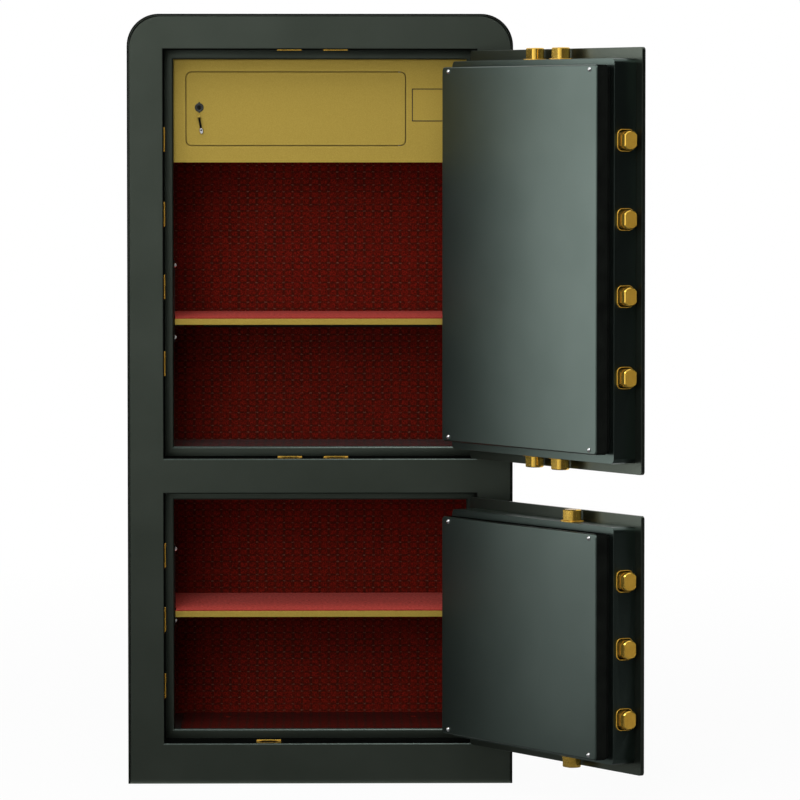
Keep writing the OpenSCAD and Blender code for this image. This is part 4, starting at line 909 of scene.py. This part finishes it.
def bolt_rings(door):
    """A narrow golden lip with a rounded top, round the opening that each bolt comes out of."""
    shape = Shape()
    w, h, soft = RING[0] / 2, RING[1] / 2, RING_LIP / 2
    steps = [(soft - soft * cos(a), RING_OUT - soft + soft * sin(a))
             for a in [pi * k / 8 for k in range(9)]]
    for way in bolt_ways(door):
        rings = []
        for inset, up in [(0.0, 0.0)] + steps + [(RING_LIP, 0.0)]:
            outline = rounded(-w + inset, -h + inset, w - inset, h - inset, RING_R - inset)
            rings.append(shape.ring([way @ Vector((x, y, up)) for x, y in outline]))
        shape.loft(rings, round_again=True)
    shape.build(door + "_ring_lips", door + "_door", [door + "_bolt_rings"], "gold_plate", place=door_place(door))


def carriage(door, side, ways, tip, bar, tab=None):
    """The bolts of one side on the bar that joins them, and the side bar's tab for the plunger."""
    shape = Shape()
    rear, chamfer = tip - BOLT_L, 0.3
    for way in ways:
        rings = []
        for grow, out in ((-chamfer, rear), (0.0, rear + chamfer), (0.0, tip - BOLT_EDGE), (-BOLT_EDGE, tip)):
            rings.append(shape.ring([way @ Vector((x, y, CASE_IN + out)) for x, y in bolt_outline(grow)]))
        start = len(shape.faces)
        shape.loft(rings)
        shape.rest_is_second(start)
        shape.faces += [rings[0], rings[-1]]
    x0, z0, x1, z1 = bar

    def strip(start, end, width):
        return rounded(start, BOLT_DEPTH - width / 2, end, BOLT_DEPTH + width / 2, 1.0, 2)

    if tab:
        plate_between(shape, strip(z0, z1, BAR_W), [], -x1, -x0, lambda z, y, x: (-x, y, z), 0.6)
        x0, x1, z0, z1, holes = tab
        plate_between(shape, strip(x0, x1, TAB_W), [circle(x, BOLT_DEPTH, PLUNGER_R + 0.5, 24) for x in holes],
                      z0, z1)
    else:
        plate_between(shape, strip(x0, x1, BAR_W), [], z0, z1, edge=0.6)
    name = door + "_" + side
    shape.build(name + "_bolt_set", name + "_carriage", [name + "_bolts"], "gold_plate",
                ["gold_plate", "gold_polish"], door_place(door), angle=25)


def bolt_sets(door):
    """The side, top and bottom bolts of a door, each set on its bar."""
    ways, zs = bolt_ways(door), SIDE_BOLTS[door]
    count = len(zs)
    bar_x = -(DOOR_W - SIDE_IN - BOLT_L - BAR_T)
    hole, low = bar_x + TAB_HOLE, TAB_Z[door]
    carriage(door, "side", ways[:count], -SIDE_IN, (bar_x - BAR_T, zs[0] - BAR_OVER, bar_x, zs[-1] + BAR_OVER),
             (bar_x, bar_x + TAB_L, low, low + TAB_T, (hole, hole + BOLT_THROW)))
    x0, x1 = -max(END_BOLTS[door]) - BAR_OVER, -min(END_BOLTS[door]) + BAR_OVER
    top = DOOR_H[door] + END_OUT - BOLT_L
    carriage(door, "top", ways[count::2], END_OUT, (x0, top - BAR_T, x1, top))
    low = BOLT_L - END_OUT
    carriage(door, "bottom", ways[count + 1::2], END_OUT, (x0, low, x1, low + BAR_T))


def keypad(door):
    """Plain marks on the touch panel's glass: twelve key fields, two lamps and a line round them."""
    marks = Shape()
    middle = LOCK_Z[door] + PANEL_UP

    def mark(*outlines):
        marks.flat([[(x, -HOUSING - 0.03, z) for x, z in outline] for outline in outlines])

    for i in (-1, 0, 1):
        for k in range(4):
            x, z = LOCK_X + KEY_PITCH[0] * i, middle - KEYS_DOWN + KEY_PITCH[1] * (k - 1.5)
            mark(circle(x, z, KEY_R), circle(x, z, KEY_R - KEY_LINE))
            mark(circle(x, z, KEY_DOT, 16))
    for dx in (-LAMP_X, LAMP_X):
        mark(circle(LOCK_X + dx, middle + LAMP_UP, LAMP_R, 20))
    w, h = PANEL_HALF
    mark(*(rounded(LOCK_X - w + d, middle - h + d, LOCK_X + w - d, middle + h - d, PANEL_R - d) for d in PANEL_LINE))
    marks.build(door + "_keypad_marks", door + "_door", [], "touch_glass", ["keypad_print"], door_place(door),
                facing=(0, -1, 0), thick=0.02)


for door in ("upper", "lower"):
    bolt_case(door)
    cover(door)
    bolt_rings(door)
    bolt_sets(door)
    keypad(door)


# Studio


def area(name, where, target, size, power, shine=True):
    """A soft box that shines on a point, seen in reflections unless it is a fill."""
    lamp = bpy.data.lights.new(name, "AREA")
    lamp.shape, lamp.size, lamp.size_y, lamp.energy = "RECTANGLE", *size, power
    obj = put(name, lamp)
    obj.location = where
    obj.rotation_euler = (Vector(target) - Vector(where)).to_track_quat("-Z", "Y").to_euler()
    obj.visible_glossy = shine


def bare_nodes(owner):
    """The emptied node tree of a material or a world."""
    owner.use_nodes = True
    owner.node_tree.nodes.clear()
    return owner.node_tree


def sheet_of(name, w, h, material_name):
    """A staged rectangle about its own middle, and its material's empty node tree."""
    mesh = bpy.data.meshes.new(name)
    mesh.from_pydata([(-w, -h, 0), (w, -h, 0), (w, h, 0), (-w, h, 0)], [], [(0, 1, 2, 3)])
    material = bpy.data.materials.new(material_name)
    mesh.materials.append(material)
    obj = put(name, mesh)
    return obj, bare_nodes(material)


def card(name, where, target, size, low, high, sides=None):
    """A studio card that only reflections see, graded from its lower to its upper edge, and across if asked."""
    w, h = size[0] / 2, size[1] / 2
    obj, tree = sheet_of(name, w, h, name + " cloth")
    obj.location = where
    obj.rotation_euler = (Vector(target) - Vector(where)).to_track_quat("Z", "Y").to_euler()
    obj.visible_camera = obj.visible_diffuse = obj.visible_shadow = obj.visible_transmission = False
    place = add(tree, "SeparateXYZ", {"Vector": add(tree, "TexCoord").outputs["Object"]})
    grade = add(tree, "MapRange", {"Value": place.outputs["Y"], "From Min": -h, "From Max": h,
                                   "To Min": low, "To Max": high})
    light = grade.outputs["Result"]
    if sides:
        (near, dim), (far, bright) = sides
        across = add(tree, "MapRange", {"Value": place.outputs["X"], "From Min": near, "From Max": far,
                                        "To Min": dim, "To Max": bright})
        light = add(tree, "Math", {0: light, 1: across.outputs["Result"]}, operation="MULTIPLY").outputs[0]
    glow = add(tree, "Emission", {"Color": colour("ffffff"), "Strength": light})
    add(tree, "OutputMaterial", {"Surface": glow.outputs[0]})


def seen_directly(tree, *further):
    """1 where the camera, a reflection or a further kind of ray looks, and 0 for the light on the object."""
    path = add(tree, "LightPath")
    seen = path.outputs["Is Camera Ray"]
    for ray in ("Is Glossy Ray", *further):
        seen = add(tree, "Math", {0: seen, 1: path.outputs[ray]}, operation="MAXIMUM").outputs[0]
    return seen


def studio():
    scene = bpy.context.scene
    scene.view_settings.view_transform = "Standard"

    scene.world = bpy.data.worlds.new("studio")
    tree = bare_nodes(scene.world)
    plain = add(tree, "Background", {"Color": colour("ffffff"), "Strength": 0.25})
    white = add(tree, "Background", {"Color": colour("ffffff"), "Strength": 1.0})
    seen = seen_directly(tree, "Is Transmission Ray")
    both = add(tree, "MixShader", {0: seen, 1: plain.outputs[0], 2: white.outputs[0]})
    add(tree, "OutputWorld", {"Surface": both.outputs[0]})

    # The floor glows white where it is looked at, a little less under the object, so that its shadow shows
    tree = sheet_of("studio_floor", 14.0, 14.0, "pale studio floor")[1]
    far = add(tree, "VectorMath", {0: add(tree, "TexCoord").outputs["Object"]}, operation="LENGTH")
    glow_share = add(tree, "MapRange", {"Value": far.outputs["Value"], "From Min": 1.0, "From Max": 4.0,
                                        "To Min": 0.96, "To Max": 1.0})
    share = add(tree, "Math", {0: seen_directly(tree), 1: glow_share.outputs["Result"]}, operation="MULTIPLY")
    cloth = add(tree, "BsdfDiffuse", {"Color": colour("f4f4f4")})
    glow = add(tree, "Emission", {"Color": colour("ffffff"), "Strength": 1.0})
    both = add(tree, "MixShader", {0: share.outputs[0], 1: cloth.outputs[0], 2: glow.outputs[0]})
    add(tree, "OutputMaterial", {"Surface": both.outputs[0]})

    area("left softbox", (-2.6, 0.45, 0.9), (0.35, -0.45, 0.75), (1.3, 1.3), 10.0)
    area("high softbox", (-0.6, -3.2, 3.6), (0.0, 0.0, 0.6), (2.4, 1.6), 48.0)
    area("high fill", (-0.3, -5.0, 2.5), (0.0, 0.0, 0.6), (2.0, 1.6), 90.0, shine=False)
    area("front fill", (-1.2, -5.7, 1.2), (0.0, 0.0, 0.7), (2.0, 1.6), 130.0, shine=False)
    card("front card", (-1.0, -6.0, 1.6), (-1.0, 0.0, 1.2), (9.0, 7.0), 0.42, 1.25, ((-3.3, 0.1), (2.0, 1.8)))
    card("right card", (3.4, -3.0, 1.2), (0.3, -0.5, 0.7), (8.0, 7.0), 0.015, 0.015)
    card("low card", (0.6, -3.44, 0.001), (0.6, -3.44, 3.0), (9.0, 6.4), 0.15, 0.15, ((1.8, 0.0), (0.6, 1.0)))

    camera = bpy.data.cameras.new("camera")
    camera.lens, camera.sensor_width = 242.47, 36.0
    eye = put("camera", camera)
    eye.location = (-0.0042, -8.6098, 1.0234)
    eye.rotation_euler = (radians(90 - 2.893), 0.0, radians(-0.878))
    scene.camera = eye


studio()
